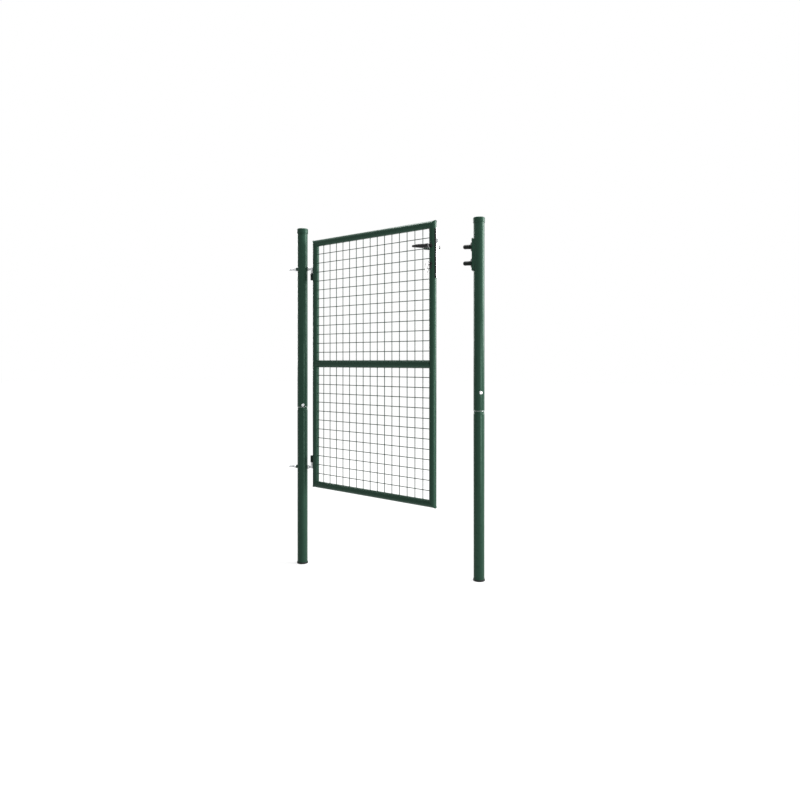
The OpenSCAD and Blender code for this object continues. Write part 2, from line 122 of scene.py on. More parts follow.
class Recess(Enum):
    """The driving recess in a screw's head."""

    HEXAGON = "hexagon"
    CROSS = "cross"

    def radius(self, size: float, angle: float) -> float:
        """Gives the recess's outline.

        Args:
            size: Half the recess's largest width.
            angle: Direction from the screw's axis.

        Returns:
            The distance from the axis to the outline in that direction.
        """
        if self is Recess.HEXAGON:
            return hexagon_radius(2 * size * math.cos(math.pi / 6), angle)
        arm = size * 0.24
        off_arm = (angle + math.pi / 4) % (math.pi / 2) - math.pi / 4
        return min(size, arm / max(abs(math.sin(off_arm)), TINY))


class Along(Enum):
    """Directions that a shape's own Z axis can be turned to."""

    X = (math.pi / 2, "Y")
    MINUS_X = (-math.pi / 2, "Y")
    Y = (-math.pi / 2, "X")
    MINUS_Y = (math.pi / 2, "X")
    Z = (0.0, "Z")

    def at(self, x: float, y: float, z: float) -> Matrix:
        """Returns the matrix that turns a shape this way and moves it to (x, y, z)."""
        return Matrix.Translation((x, y, z)) @ Matrix.Rotation(self.value[0], 4, self.value[1])


def facing_x(x: float, y: float, z: float) -> Matrix:
    """Returns the matrix that lays an outline's X along +Y, its Y along +Z, at a point."""
    turn = Matrix(((0, 0, 1, 0), (1, 0, 0, 0), (0, 1, 0, 0), (0, 0, 0, 1)))
    return Matrix.Translation((x, y, z)) @ turn


def hexagon_radius(across: float, angle: float) -> float:
    """Returns how far a hexagon reaches in a direction, a corner being at 0."""
    return across / 2 / math.cos(angle % (math.pi / 3) - math.pi / 6)


def between(keys: Sequence[tuple[float, float]], at: float) -> float:
    """Reads a smooth curve through a few keys.

    Args:
        keys: (position, value) pairs in order of position.
        at: The position to read.

    Returns:
        The value there, on a curve whose slope doesn't jump at the keys.
    """
    def slope(k: int) -> float:
        """Returns the curve's slope at a key."""
        (x0, v0), (x1, v1) = keys[max(0, k - 1)], keys[min(len(keys) - 1, k + 1)]
        return (v1 - v0) / (x1 - x0)

    for k, ((x0, v0), (x1, v1)) in enumerate(zip(keys, keys[1:])):
        if at <= x1:
            t, span = max(0.0, (at - x0) / (x1 - x0)), x1 - x0
            return (
                (2 * t ** 3 - 3 * t ** 2 + 1) * v0
                + (t ** 3 - 2 * t ** 2 + t) * span * slope(k)
                + (3 * t ** 2 - 2 * t ** 3) * v1
                + (t ** 3 - t ** 2) * span * slope(k + 1)
            )
    return keys[-1][1]


def filleted(corners: Outline, radius: float | Sequence[float], steps: int = 4) -> Outline:
    """Rounds the corners of a closed outline.

    Args:
        corners: The outline's corners in order.
        radius: Fillet radius, one for all corners or one for each.
        steps: Spans that a fillet is made of.

    Returns:
        The outline with each corner replaced by points along its fillet.
    """
    straight, most = 0.02, 0.49  # least turn of a corner, most of a side for one fillet
    radii = [radius] * len(corners) if isinstance(radius, (int, float)) else radius
    result: Outline = []
    for i, (corner, r) in enumerate(zip(corners, radii)):
        here = Vector(corner)
        to_last = Vector(corners[i - 1]) - here
        to_next = Vector(corners[(i + 1) % len(corners)]) - here
        angle = to_last.angle(to_next)
        if r <= 0 or angle > math.pi - straight:
            result.append(tuple(here))
            continue
        reach = min(r / math.tan(angle / 2), to_last.length * most, to_next.length * most)
        first, last = here + to_last.normalized() * reach, here + to_next.normalized() * reach
        bisector = (to_last.normalized() + to_next.normalized()).normalized()
        actual = reach * math.tan(angle / 2)
        centre = here + bisector * (actual / math.sin(angle / 2))
        for k in range(steps + 1):
            point = first.lerp(last, k / steps) - centre
            result.append(tuple(centre + point.normalized() * actual))
    return result


def arc(x: float, y: float, radius: float, start: float, end: float, steps: int) -> Outline:
    """Returns the points of an arc round (x, y), from start to end in degrees."""
    angles = [math.radians(start + (end - start) * k / steps) for k in range(steps + 1)]
    return [(x + radius * math.cos(t), y + radius * math.sin(t)) for t in angles]


def rectangle(x0: float, y0: float, x1: float, y1: float) -> Outline:
    """Returns the four corners of a rectangle, anticlockwise."""
    return [(x0, y0), (x1, y0), (x1, y1), (x0, y1)]


def turns(count: int) -> list[float]:
    """Returns evenly spread directions round a circle."""
    return [2 * math.pi * k / count for k in range(count)]


def half_chord(radius: float, off: float) -> float:
    """Returns half the width of a circle at a distance off its middle."""
    return math.sqrt(max(0.0, radius ** 2 - off ** 2))


def circle(radius: float | Curve, height: float, count: int) -> Ring:
    """Draws a ring round the Z axis.

    Args:
        radius: Its radius, or what gives the radius in a direction.
        height: Its height.
        count: Its number of points.

    Returns:
        The ring's points.
    """
    reach = radius if callable(radius) else lambda t: radius
    return [
        Vector((reach(t) * math.cos(t), reach(t) * math.sin(t), height)) for t in turns(count)
    ]


def shown(name: str, data: bpy.types.ID) -> bpy.types.Object:
    """Puts data into the scene.

    Args:
        name: The new object's name.
        data: Its mesh, lamp or camera.

    Returns:
        The object.
    """
    holder = bpy.data.objects.new(name, data)
    bpy.context.collection.objects.link(holder)
    return holder


# ---- meshes ----


class Shell:
    """A mesh under construction, made of closed skins."""

    def __init__(self) -> None:
        """Starts with nothing in it."""
        self.bm = bmesh.new()

    def skin(self, rings: Sequence[Ring], place: Matrix = Matrix.Identity(4),
             closed: bool = False) -> "Shell":
        """Joins rings of points, in order, into one closed skin.

        Args:
            rings: The rings. One of a single point is a pole.
            place: Turns and moves the skin.
            closed: Joins the last ring to the first; otherwise both ends are filled.

        Returns:
            The shell itself.
        """
        rows = [[self.bm.verts.new(place @ point) for point in ring] for ring in rings]
        faces = []
        for low, high in zip(rows, rows[1:] + rows[:1] if closed else rows[1:]):
            count = max(len(low), len(high))
            for i in range(count):
                j = i + 1
                corners = [
                    low[i % len(low)], low[j % len(low)],
                    high[j % len(high)], high[i % len(high)],
                ]
                faces.append(self.bm.faces.new(list(dict.fromkeys(corners))))
        if not closed:
            faces += [self.bm.faces.new(row) for row in (rows[0], rows[-1]) if len(row) > 2]
        bmesh.ops.recalc_face_normals(self.bm, faces=faces)
        return self

    def lathe(self, profile: Outline, place: Matrix, points: int = FITTING_POINTS) -> "Shell":
        """Turns a closed profile round the shape's Z axis.

        Args:
            profile: (radius, height) points. Where the first and last lie on the axis
                the shape is solid there, otherwise it has a bore.
            place: Turns and moves the shape.
            points: Points round it.

        Returns:
            The shell itself.
        """
        rings = [
            circle(radius, height, points) if radius > TINY else [Vector((0, 0, height))]
            for radius, height in profile
        ]
        return self.skin(rings, place, closed=len(rings[0]) > 1)

    def rod(self, radius: float, length: float, rounding: float, place: Matrix) -> "Shell":
        """Adds a solid bar with rounded rims, from 0 up the shape's Z axis."""
        corners = rectangle(0, 0, radius, length)
        return self.lathe(filleted(corners, [0, rounding, rounding, 0]), place, PIN_POINTS)

    def tube(self, radius: float, wall: float, low: Surface, high: Surface,
             place: Matrix) -> "Shell":
        """Adds a hollow tube whose ends may be mitred or coped.

        Args:
            radius: Outside radius.
            wall: Wall thickness.
            low: Height of the lower end at a point (x, y) of the tube's section.
            high: Height of the upper end there.
            place: Turns and moves it.

        Returns:
            The shell itself.
        """
        def ring(r: float, end: Surface) -> Ring:
            """Returns the ring of radius r at one of the ends."""
            points = [(r * math.cos(t), r * math.sin(t)) for t in turns(TUBE_POINTS)]
            return [Vector((x, y, end(x, y))) for x, y in points]

        inner = radius - wall
        rings = [ring(radius, low), ring(radius, high), ring(inner, high), ring(inner, low)]
        return self.skin(rings, place, closed=True)

    def plate(self, outlines: Sequence[Outline], thickness: float, bevel: float,
              place: Matrix) -> "Shell":
        """Adds a plate with bevelled edges.

        Args:
            outlines: Its outline, then the outlines of its holes.
            thickness: Its thickness, half on each side of the outlines' plane.
            bevel: Size of the bevels.
            place: Turns and moves it.

        Returns:
            The shell itself.
        """
        curve = bpy.data.curves.new("outline", "CURVE")
        curve.dimensions, curve.fill_mode = "2D", "BOTH"
        curve.bevel_depth, curve.bevel_resolution, curve.offset = bevel, 1, -bevel
        curve.extrude = thickness / 2 - bevel
        for outline in outlines:
            spline = curve.splines.new("POLY")
            spline.points.add(len(outline) - 1)
            spline.use_cyclic_u = True
            for point, (x, y) in zip(spline.points, outline):
                point.co = (x, y, 0, 1)
        holder = bpy.data.objects.new("outline", curve)
        mesh = bpy.data.meshes.new_from_object(holder)
        part = bmesh.new()
        part.from_mesh(mesh)
        bmesh.ops.remove_doubles(part, verts=part.verts, dist=MM / 100)
        bmesh.ops.recalc_face_normals(part, faces=part.faces)
        part.transform(place)
        part.to_mesh(mesh)
        part.free()
        bpy.data.objects.remove(holder)
        bpy.data.curves.remove(curve)
        return self.swallow(mesh)

    def swallow(self, mesh: bpy.types.Mesh) -> "Shell":
        """Takes a finished mesh in.

        Args:
            mesh: The mesh, which is removed.

        Returns:
            The shell itself.
        """
        self.bm.from_mesh(mesh)
        bpy.data.meshes.remove(mesh)
        return self

    def washer(self, radius: float, bore: float, thickness: float, place: Matrix) -> "Shell":
        """Adds a washer of a radius and bore, from 0 up the shape's Z axis."""
        section, rounding = rectangle(bore, 0, radius, thickness), thickness * 0.22
        return self.lathe(filleted(section, rounding, steps=3), place)

    def nut(self, across: float, bore: float, height: float, place: Matrix) -> "Shell":
        """Adds a hexagon nut with chamfered corners.

        Args:
            across: Width across flats.
            bore: Radius of its hole.
            height: Its height, from 0 up the shape's Z axis.
            place: Turns and moves it.

        Returns:
            The shell itself.
        """
        face_radius, lip, slope = across / 2 * 0.97, across * 0.03, math.tan(math.radians(60))
        depth = (across / 2 / math.cos(math.pi / 6) - face_radius) / slope
        levels = [depth * k / 4 for k in range(5)]

        def ring(level: float, at: float) -> Ring:
            """Returns the chamfered hexagon at a height, level away from its face."""
            limit = face_radius + level * slope
            return circle(lambda t: min(limit, hexagon_radius(across, t)), at, TUBE_POINTS)

        rings = [circle(bore + lip, 0, TUBE_POINTS)]
        rings += [ring(level, level) for level in levels]
        rings += [ring(level, height - level) for level in reversed(levels)]
        rings += [
            circle(radius, at, TUBE_POINTS)
            for radius, at in ((bore + lip, height), (bore, height - lip), (bore, lip))
        ]
        return self.skin(rings, place, closed=True)

    def screw_head(self, radius: float, height: float, recess: Recess, size: float,
                   place: Matrix) -> "Shell":
        """Adds a domed head with a driving recess.

        Args:
            radius: The head's radius.
            height: Its height, from 0 up the shape's Z axis.
            recess: Kind of recess.
            size: Half the recess's largest width.
            place: Turns and moves it.

        Returns:
            The shell itself.
        """
        rim, flat, floor = height * 0.28, size * 1.25, height * 0.4
        bulge, spans = 1.6, 6
        walls = ((height, 1.05), (height - rim * 0.2, 1.0), (height * 0.45, 0.92))
        rings = [[Vector((0, 0, 0))]] + [circle(radius, at, PIN_POINTS) for at in (0, rim)]
        for k in range(1, spans + 1):
            rise = math.sin(k / spans * math.pi / 2)
            r = radius + (flat - radius) * rise ** bulge
            rings.append(circle(r, rim + (height - rim) * rise, PIN_POINTS))
        for at, scale in walls:
            rings.append(circle(lambda t: recess.radius(size, t) * scale, at, PIN_POINTS))
        rings.append([Vector((0, 0, floor))])
        return self.skin(rings, place)

    def mesh(self, name: str, place: Matrix, crease: float) -> bpy.types.Mesh:
        """Ends the shell.

        Args:
            name: Name of the mesh.
            place: Turns and moves the whole shell.
            crease: Angle in degrees past which an edge is shaded sharp.

        Returns:
            The finished mesh, smooth between its creases.
        """
        mesh = bpy.data.meshes.new(name)
        self.bm.transform(place)
        self.bm.to_mesh(mesh)
        self.bm.free()
        mesh.shade_smooth()
        mesh.set_sharp_from_angle(angle=math.radians(crease))
        return mesh


# ---- node trees ----


class Wiring:
    """Adds and links nodes in one tree."""

    def __init__(self, tree: bpy.types.NodeTree) -> None:
        """Takes the tree to write in."""
        self.tree = tree

    def add(self, kind: str, inputs: dict[str | int, object] | None = None,
            **settings: object) -> bpy.types.Node:
        """Adds a node.

        Args:
            kind: The node's type.
            inputs: Values or sockets for its inputs, by name, or by number where
                the node is simple or several inputs share a name.
            **settings: Its properties.

        Returns:
            The new node.
        """
        node = self.tree.nodes.new(kind)
        for name, value in settings.items():
            setattr(node, name, value)
        for key, value in (inputs or {}).items():
            if isinstance(value, Socket):
                self.tree.links.new(value, node.inputs[key])
            else:
                node.inputs[key].default_value = value
        return node

    def get(self, kind: str, inputs: dict[str | int, object] | None = None,
            output: str | int = 0, **settings: object) -> Socket:
        """Adds a node, as add does, and returns one of its outputs."""
        return self.add(kind, inputs, **settings).outputs[output]

    def math(self, operation: str, a: object, b: object = 0.0) -> Socket:
        """Returns the result of a Math node on two values or sockets."""
        return self.get("ShaderNodeMath", {0: a, 1: b}, operation=operation)

    def times(self, a: object, b: object) -> Socket:
        """Returns the product of two values or sockets."""
        return self.math("MULTIPLY", a, b)

    def minus(self, a: object, b: object) -> Socket:
        """Returns the difference of two values or sockets."""
        return self.math("SUBTRACT", a, b)

    def scaled(self, vector: object, scale: object) -> Socket:
        """Returns a vector times a value, each given or a socket."""
        inputs = {0: vector, "Scale": scale}
        return self.get("ShaderNodeVectorMath", inputs, operation="SCALE")

    def total(self, first: object, *rest: object) -> Socket:
        """Adds values up.

        Args:
            first: The first value or socket.
            *rest: The others.

        Returns:
            The sum.
        """
        for value in rest:
            first = self.math("ADD", first, value)
        return first


class Grower(Wiring, ABC):
    """A Geometry Nodes tree that grows one repeated shape."""

    name = "grower"
    inputs: dict[str, str] = {}

    def __init__(self) -> None:
        """Builds the tree with its named inputs."""
        super().__init__(bpy.data.node_groups.new(self.name, "GeometryNodeTree"))
        face = self.tree.interface
        self.sockets = {"Material": "NodeSocketMaterial", **self.inputs}
        face.new_socket("Geometry", in_out="INPUT", socket_type="NodeSocketGeometry")
        for name, kind in self.sockets.items():
            face.new_socket(name, in_out="INPUT", socket_type=kind)
        face.new_socket("Geometry", in_out="OUTPUT", socket_type="NodeSocketGeometry")
        self.given = self.tree.nodes.new("NodeGroupInput").outputs
        parts = self.shape()
        joined = self.add("GeometryNodeJoinGeometry")
        for part in parts:
            self.tree.links.new(part, joined.inputs[0])
        real = self.get("GeometryNodeRealizeInstances", {0: joined.outputs[0]})
        smooth = self.get("GeometryNodeSetShadeSmooth", {0: real})
        dressed = self.get("GeometryNodeSetMaterial", {
            "Geometry": smooth, "Material": self.given["Material"]})
        self.add("NodeGroupOutput", {0: dressed})

    @abstractmethod
    def shape(self) -> list[Socket]:
        """Adds the tree's own nodes and returns the geometries that it grows."""

    def grow(self, material: bpy.types.Material, values: dict[str, float],
             base: bpy.types.Mesh | None = None) -> bpy.types.Mesh:
        """Runs the tree once.

        Args:
            material: The grown faces' material.
            values: The tree's inputs, by name.
            base: Mesh that it starts from, if it needs one.

        Returns:
            A plain mesh of what grew.
        """
        holder = shown(self.name, base or bpy.data.meshes.new(self.name))
        modifier = holder.modifiers.new(self.name, "NODES")
        modifier.node_group = self.tree
        for item in self.tree.interface.items_tree:
            if item.in_out == "INPUT" and item.name in self.sockets:
                value = material if item.name == "Material" else values[item.name]
                modifier[item.identifier] = value
        holder.update_tag()
        graph = bpy.context.evaluated_depsgraph_get()
        mesh = bpy.data.meshes.new_from_object(holder.evaluated_get(graph))
        holder.modifiers.remove(modifier)
        bpy.data.objects.remove(holder)
        return mesh


class WeldedPanel(Grower):
    """Crossed wires with a weld nugget at each crossing and at each wire's ends.

    Attributes:
        sides: Sides of a wire.
        crossing: How a nugget is squashed at a crossing.
        foot: How it is squashed at the end of an upright wire.
        side_end: How it is squashed at the end of a level wire.
        uneven: The least and the most that a nugget's size varies by.
    """

    sides, uneven = 12, (0.88, 1.12)
    crossing, foot, side_end = (1.05, 0.8, 1.05), (1.25, 1.25, 0.9), (0.9, 1.25, 1.25)
    name = "welded_panel"
    inputs = {
        "Wires Across": "NodeSocketInt", "Wires Up": "NodeSocketInt",
        "Pitch": "NodeSocketFloat", "Wire Radius": "NodeSocketFloat",
        "Width": "NodeSocketFloat", "Height": "NodeSocketFloat",
        "Layer": "NodeSocketFloat", "Nugget Radius": "NodeSocketFloat",
        "Seed": "NodeSocketInt",
    }

    def shape(self) -> list[Socket]:
        """Adds the wires and nuggets in the XZ plane, centred.

        Returns:
            The geometries of the wires, crossings and ends.
        """
        given = self.given
        across, up, pitch = given["Wires Across"], given["Wires Up"], given["Pitch"]
        back, front = given["Layer"], self.times(given["Layer"], -1.0)
        upright = self.wire(given["Height"], (0.0, 0.0, 0.0))
        level = self.wire(given["Width"], (0.0, math.pi / 2, 0.0))
        nugget = self.get("GeometryNodeMeshUVSphere", {
            "Segments": 8, "Rings": 5, "Radius": given["Nugget Radius"]})
        grid = self.get("GeometryNodeMeshGrid", {
            "Size X": self.times(self.minus(across, 1.0), pitch),
            "Size Y": self.times(self.minus(up, 1.0), pitch),
            "Vertices X": across, "Vertices Y": up})
        crossings = self.get("GeometryNodeTransform", {
            "Geometry": grid, "Rotation": (math.pi / 2, 0.0, 0.0)})
        grown = [
            self.on(self.row(across, pitch, "X", self.place(None, back, None)), upright),
            self.on(self.row(up, pitch, "Z", self.place(None, front, None)), level),
            self.scattered(crossings, nugget, self.crossing),
        ]
        for sign in (-0.5, 0.5):
            top, side = self.times(given["Height"], sign), self.times(given["Width"], sign)
            ends = self.row(across, pitch, "X", self.place(None, back, top))
            grown.append(self.scattered(ends, nugget, self.foot))
            ends = self.row(up, pitch, "Z", self.place(side, front, None))
            grown.append(self.scattered(ends, nugget, self.side_end))
        return grown

    def wire(self, length: Socket, turn: Triple) -> Socket:
        """Returns one wire of a length, turned by three angles."""
        bar = self.get("GeometryNodeMeshCylinder", {
            "Vertices": self.sides, "Radius": self.given["Wire Radius"], "Depth": length})
        return self.get("GeometryNodeTransform", {"Geometry": bar, "Rotation": turn})

    def place(self, x: object, y: object, z: object) -> Socket:
        """Returns the vector (x, y, z), where None is 0."""
        values = {i: value for i, value in enumerate((x, y, z)) if value is not None}
        return self.get("ShaderNodeCombineXYZ", values)

    def row(self, count: Socket, pitch: Socket, axis: str, middle: Socket) -> Socket:
        """Adds a centred row of points.

        Args:
            count: How many.
            pitch: Distance between them.
            axis: The row's direction, X or Z.
            middle: The row's middle.

        Returns:
            The points.
        """
        unit = (1.0, 0.0, 0.0) if axis == "X" else (0.0, 0.0, 1.0)
        half = self.times(self.times(self.minus(count, 1.0), pitch), -0.5)
        start = self.get("ShaderNodeVectorMath", {0: self.scaled(unit, half), 1: middle})
        return self.get("GeometryNodeMeshLine", {
            "Count": count, "Start Location": start, "Offset": self.scaled(unit, pitch)})

    def on(self, points: Socket, instance: Socket, scale: object = (1.0, 1.0, 1.0)) -> Socket:
        """Returns the instance put on each point, at a scale."""
        return self.get("GeometryNodeInstanceOnPoints", {
            "Points": points, "Instance": instance, "Scale": scale})

    def scattered(self, points: Socket, instance: Socket, scale: Triple) -> Socket:
        """Returns the instance on each point, squashed by scale and a little uneven."""
        uneven = self.get("FunctionNodeRandomValue", {
            2: self.uneven[0], 3: self.uneven[1], "Seed": self.given["Seed"]}, 1)
        return self.on(points, instance, self.scaled(scale, uneven))


class ThreadedRod(Grower):
    """A rolled thread round the Z axis, centred, with chamfered ends.

    Attributes:
        sides: Points round it.
        levels: Rings of points in one turn of the thread.
        sharp: Steepness of the flanks, 1 for a plain zigzag.
        flat: Share of the depth that makes the flat on top.
    """

    sides, levels, sharp, flat = 28, 6.0, 1.3, 0.15
    name = "threaded_rod"
    inputs = {
        "Length": "NodeSocketFloat", "Radius": "NodeSocketFloat",
        "Pitch": "NodeSocketFloat", "Depth": "NodeSocketFloat", "Chamfer": "NodeSocketFloat",
    }

    def shape(self) -> list[Socket]:
        """Adds a cylinder whose side is pushed in along a helix.

        Returns:
            Its geometry.
        """
        given = self.given
        coils = self.math("DIVIDE", given["Length"], given["Pitch"])
        bar = self.get("GeometryNodeMeshCylinder", {
            "Vertices": self.sides, "Side Segments": self.times(coils, self.levels),
            "Radius": given["Radius"], "Depth": given["Length"]})
        here = self.get("GeometryNodeInputPosition")
        x, y, z = self.add("ShaderNodeSeparateXYZ", {0: here}).outputs
        angle = self.math("DIVIDE", self.math("ARCTAN2", y, x), 2 * math.pi)
        phase = self.minus(self.math("DIVIDE", z, given["Pitch"]), angle)
        wave = self.math("ABSOLUTE", self.minus(self.times(self.math("FRACT", phase), 2.0), 1.0))
        flank = self.get("ShaderNodeClamp", {
            0: self.minus(self.times(wave, self.sharp), self.flat)})
        half = self.times(given["Length"], 0.5)
        inside = self.minus(half, self.math("ABSOLUTE", z))
        worn = self.math("MAXIMUM", self.minus(given["Chamfer"], inside), 0.0)
        cut = self.math("MAXIMUM", self.times(flank, given["Depth"]), worn)
        scale = self.minus(1.0, self.math("DIVIDE", cut, given["Radius"]))
        moved = self.get("ShaderNodeCombineXYZ", {
            0: self.times(x, scale), 1: self.times(y, scale), 2: z})
        return [self.get("GeometryNodeSetPosition", {"Geometry": bar, "Position": moved})]


class WeldBead(Grower):
    """A rippled weld along each path of edges in the base mesh.

    Attributes:
        sides: Points round it.
        lumps: Lumps per metre.
        least: Its least width, by the input Radius.
        ripple: How much the ripples add or take.
        lump: How much a lump adds.
    """

    sides, lumps, least, ripple, lump = 8, 160.0, 0.75, 0.1, 0.5
    name = "weld_bead"
    inputs = {"Radius": "NodeSocketFloat", "Ripple": "NodeSocketFloat"}

    def shape(self) -> list[Socket]:
        """Adds a tube with a rippled radius along the paths.

        Returns:
            Its geometry.
        """
        given = self.given
        source = self.tree.nodes.new("NodeGroupInput").outputs["Geometry"]
        path = self.get("GeometryNodeMeshToCurve", {"Mesh": source})
        step = self.math("DIVIDE", given["Ripple"], 4.0)
        even = self.get(
            "GeometryNodeResampleCurve", {"Curve": path, "Length": step}, mode="LENGTH")
        index = self.get("GeometryNodeInputIndex")
        wave = self.math("SINE", self.times(index, math.pi / 2))
        here = self.get("GeometryNodeInputPosition")
        noise = self.get("ShaderNodeTexNoise", {
            "Vector": here, "Scale": self.lumps, "Detail": 1.0})
        width = self.total(
            self.least, self.times(wave, self.ripple), self.times(noise, self.lump))
        profile = self.get("GeometryNodeCurvePrimitiveCircle", {
            "Resolution": self.sides, "Radius": given["Radius"]})
        return [self.get("GeometryNodeCurveToMesh", {
            "Curve": even, "Profile Curve": profile, "Scale": width, "Fill Caps": True})]


# ---- finishes ----


@dataclass(frozen=True)
class Finish(ABC):
    """What all finishes share: a colour that drifts and a fine grain in relief.

    Attributes:
        slot: The record's slot that it stands for.
        colour: Main colour.
        roughness: Middle roughness.
        spread: How far the roughness drifts to each side.
        drift: Share by which the colour lightens and darkens.
        grain: Grains per metre.
        depth: Height of the grain.
        clouds: Waves per metre of the drift in colour.
        patches: Waves per metre of the drift in roughness.
    """

    slot: Slot
    colour: Triple
    roughness: float
    spread: float = 0.05
    drift: float = 0.08
    grain: float = 900.0
    depth: float = 0.03 * MM
    clouds: float = 9.0
    patches: float = 55.0

    def material(self) -> bpy.types.Material:
        """Builds the finish.

        Returns:
            Its material.
        """
        made = bpy.data.materials.new(f"{self.slot.value}_finish")
        made.use_nodes = True
        wiring = Wiring(made.node_tree)
        shader = made.node_tree.nodes["Principled BSDF"]
        where = wiring.get("ShaderNodeTexCoord", output="Object")
        link = made.node_tree.links.new
        link(self.tint(wiring, where), shader.inputs["Base Color"])
        link(self.gloss(wiring, where), shader.inputs["Roughness"])
        bump = wiring.get("ShaderNodeBump", {
            "Strength": 1.0, "Distance": self.depth, "Height": self.relief(wiring, where)})
        link(bump, shader.inputs["Normal"])
        self.settle(shader)
        return made

    def tint(self, wiring: Wiring, where: Socket) -> Socket:
        """Returns the base colour, drifting slowly over the surface."""
        noise = wiring.get("ShaderNodeTexNoise", {
            "Vector": where, "Scale": self.clouds, "Detail": 5.0, "Roughness": 0.62})
        return self.mixed(wiring, noise)

    def mixed(self, wiring: Wiring, share: Socket) -> Socket:
        """Mixes the darkest and the lightest colour.

        Args:
            wiring: The material's nodes.
            share: 0 for the darkest, 1 for the lightest.

        Returns:
            The colour.
        """
        dark = tuple(c * (1 - self.drift) for c in self.colour) + (1.0,)
        light = tuple(min(1.0, c * (1 + self.drift)) for c in self.colour) + (1.0,)
        colours = {"Factor": share, 6: dark, 7: light}
        return wiring.get("ShaderNodeMix", colours, 2, data_type="RGBA")

    def gloss(self, wiring: Wiring, where: Socket) -> Socket:
        """Returns the roughness, drifting in small patches."""
        noise = self.noise(wiring, where, self.patches, 3.0)
        return wiring.get("ShaderNodeMapRange", {
            "Value": noise, "From Min": 0.3, "From Max": 0.7,
            "To Min": self.roughness - self.spread, "To Max": self.roughness + self.spread})

    def relief(self, wiring: Wiring, where: Socket) -> Socket:
        """Returns the height of the grain."""
        return self.noise(wiring, where, self.grain, 2.0)

    def noise(self, wiring: Wiring, where: Socket, scale: float, detail: float) -> Socket:
        """Returns plain noise of a scale, in waves per metre, and a detail."""
        return wiring.get("ShaderNodeTexNoise", {
            "Vector": where, "Scale": scale, "Detail": detail})

    @abstractmethod
    def settle(self, shader: bpy.types.Node) -> None:
        """Sets what is the same all over the surface on the shader's own sockets."""


@dataclass(frozen=True)
class PowderCoat(Finish):
    """Baked powder coat with orange peel.

    Attributes:
        shine: Strength of its mirror image, 0.5 being that of glass.
        sheen: Colour of its mirror image.
        waves: How much broader the soft waves are than the ripple.
        ripple: The ripple's height by the waves'.
    """

    shine: float = 0.14
    sheen: Triple = (0.6, 1.0, 0.78)
    waves: float = 2.6
    ripple: float = 0.35

    def relief(self, wiring: Wiring, where: Socket) -> Socket:
        """Returns the peel: broad soft waves with a finer ripple."""
        broad = self.noise(wiring, where, self.grain / self.waves, 1.0)
        fine = self.noise(wiring, where, self.grain, 1.0)
        return wiring.total(broad, wiring.times(fine, self.ripple))

    def settle(self, shader: bpy.types.Node) -> None:
        """Sets a weak gloss in the coat's own tint."""
        shader.inputs["Specular IOR Level"].default_value = self.shine
        shader.inputs["Specular Tint"].default_value = (*self.sheen, 1.0)


@dataclass(frozen=True)
class ZincPlate(Finish):
    """Zinc on steel: bright, with faint crystals.

    Attributes:
        crystals: Crystals per metre.
        metal: How metallic it is.
    """

    crystals: float = 190.0
    metal: float = 0.9

    def tint(self, wiring: Wiring, where: Socket) -> Socket:
        """Returns the colour, a little different in each crystal."""
        cells = {"Vector": where, "Scale": self.crystals, "Randomness": 1.0}
        tints = wiring.get("ShaderNodeTexVoronoi", cells, "Color")
        return self.mixed(wiring, wiring.get("ShaderNodeSeparateColor", {0: tints}))

    def settle(self, shader: bpy.types.Node) -> None:
        """Sets the metal."""
        shader.inputs["Metallic"].default_value = self.metal


@dataclass(frozen=True)
class BareSteel(Finish):
    """Bright steel with fine scratches along one direction.

    Attributes:
        stretch: A scratch's width by its length.
    """

    stretch: float = 0.06

    def relief(self, wiring: Wiring, where: Socket) -> Socket:
        """Returns the scratches: noise stretched along Z."""
        long = wiring.get("ShaderNodeMapping", {
            "Vector": where, "Scale": (1.0, 1.0, self.stretch)})
        return self.noise(wiring, long, self.grain, 3.0)

    def settle(self, shader: bpy.types.Node) -> None:
        """Sets the metal."""
        shader.inputs["Metallic"].default_value = 1.0


@dataclass(frozen=True)
class MouldedPlastic(Finish):
    """Moulded black plastic with a fine pebbled grain.

    Attributes:
        shine: Strength of its mirror image, 0.5 being that of glass.
    """

    shine: float = 0.22

    def relief(self, wiring: Wiring, where: Socket) -> Socket:
        """Returns the pebbles of the mould's texture."""
        return wiring.get("ShaderNodeTexVoronoi", {
            "Vector": where, "Scale": self.grain}, "Distance")

    def settle(self, shader: bpy.types.Node) -> None:
        """Sets a plain plastic gloss."""
        shader.inputs["Specular IOR Level"].default_value = self.shine


@dataclass(frozen=True)
class Rubber(Finish):
    """Moulded rubber: dull, with a dusty drift in colour.

    Attributes:
        shine: Strength of its mirror image, 0.5 being that of glass.
    """

    shine: float = 0.15

    def settle(self, shader: bpy.types.Node) -> None:
        """Sets a weak gloss."""
        shader.inputs["Specular IOR Level"].default_value = self.shine


FINISHES: tuple[Finish, ...] = (
    PowderCoat(Slot.GREEN, (0.0175, 0.045, 0.030), 0.30, depth=0.05 * MM, grain=1300.0),
    PowderCoat(Slot.BLACK, (0.012, 0.014, 0.014), 0.32, depth=0.04 * MM, grain=1500.0),
    ZincPlate(Slot.ZINC, (0.60, 0.61, 0.62), 0.40, drift=0.07, grain=1800.0, depth=0.02 * MM),
    MouldedPlastic(Slot.NYLON, (0.006, 0.006, 0.0065), 0.40, grain=2600.0, depth=0.03 * MM),
    MouldedPlastic(Slot.PLASTIC, (0.010, 0.012, 0.011), 0.46, grain=2200.0, depth=0.03 * MM),
    Rubber(Slot.RUBBER, (0.009, 0.013, 0.011), 0.42, grain=1500.0, depth=0.06 * MM),
    BareSteel(Slot.BRIGHT, (0.26, 0.255, 0.255), 0.32, drift=0.04, grain=3500.0, depth=0.01 * MM),
)


# ---- placing and handing over ----


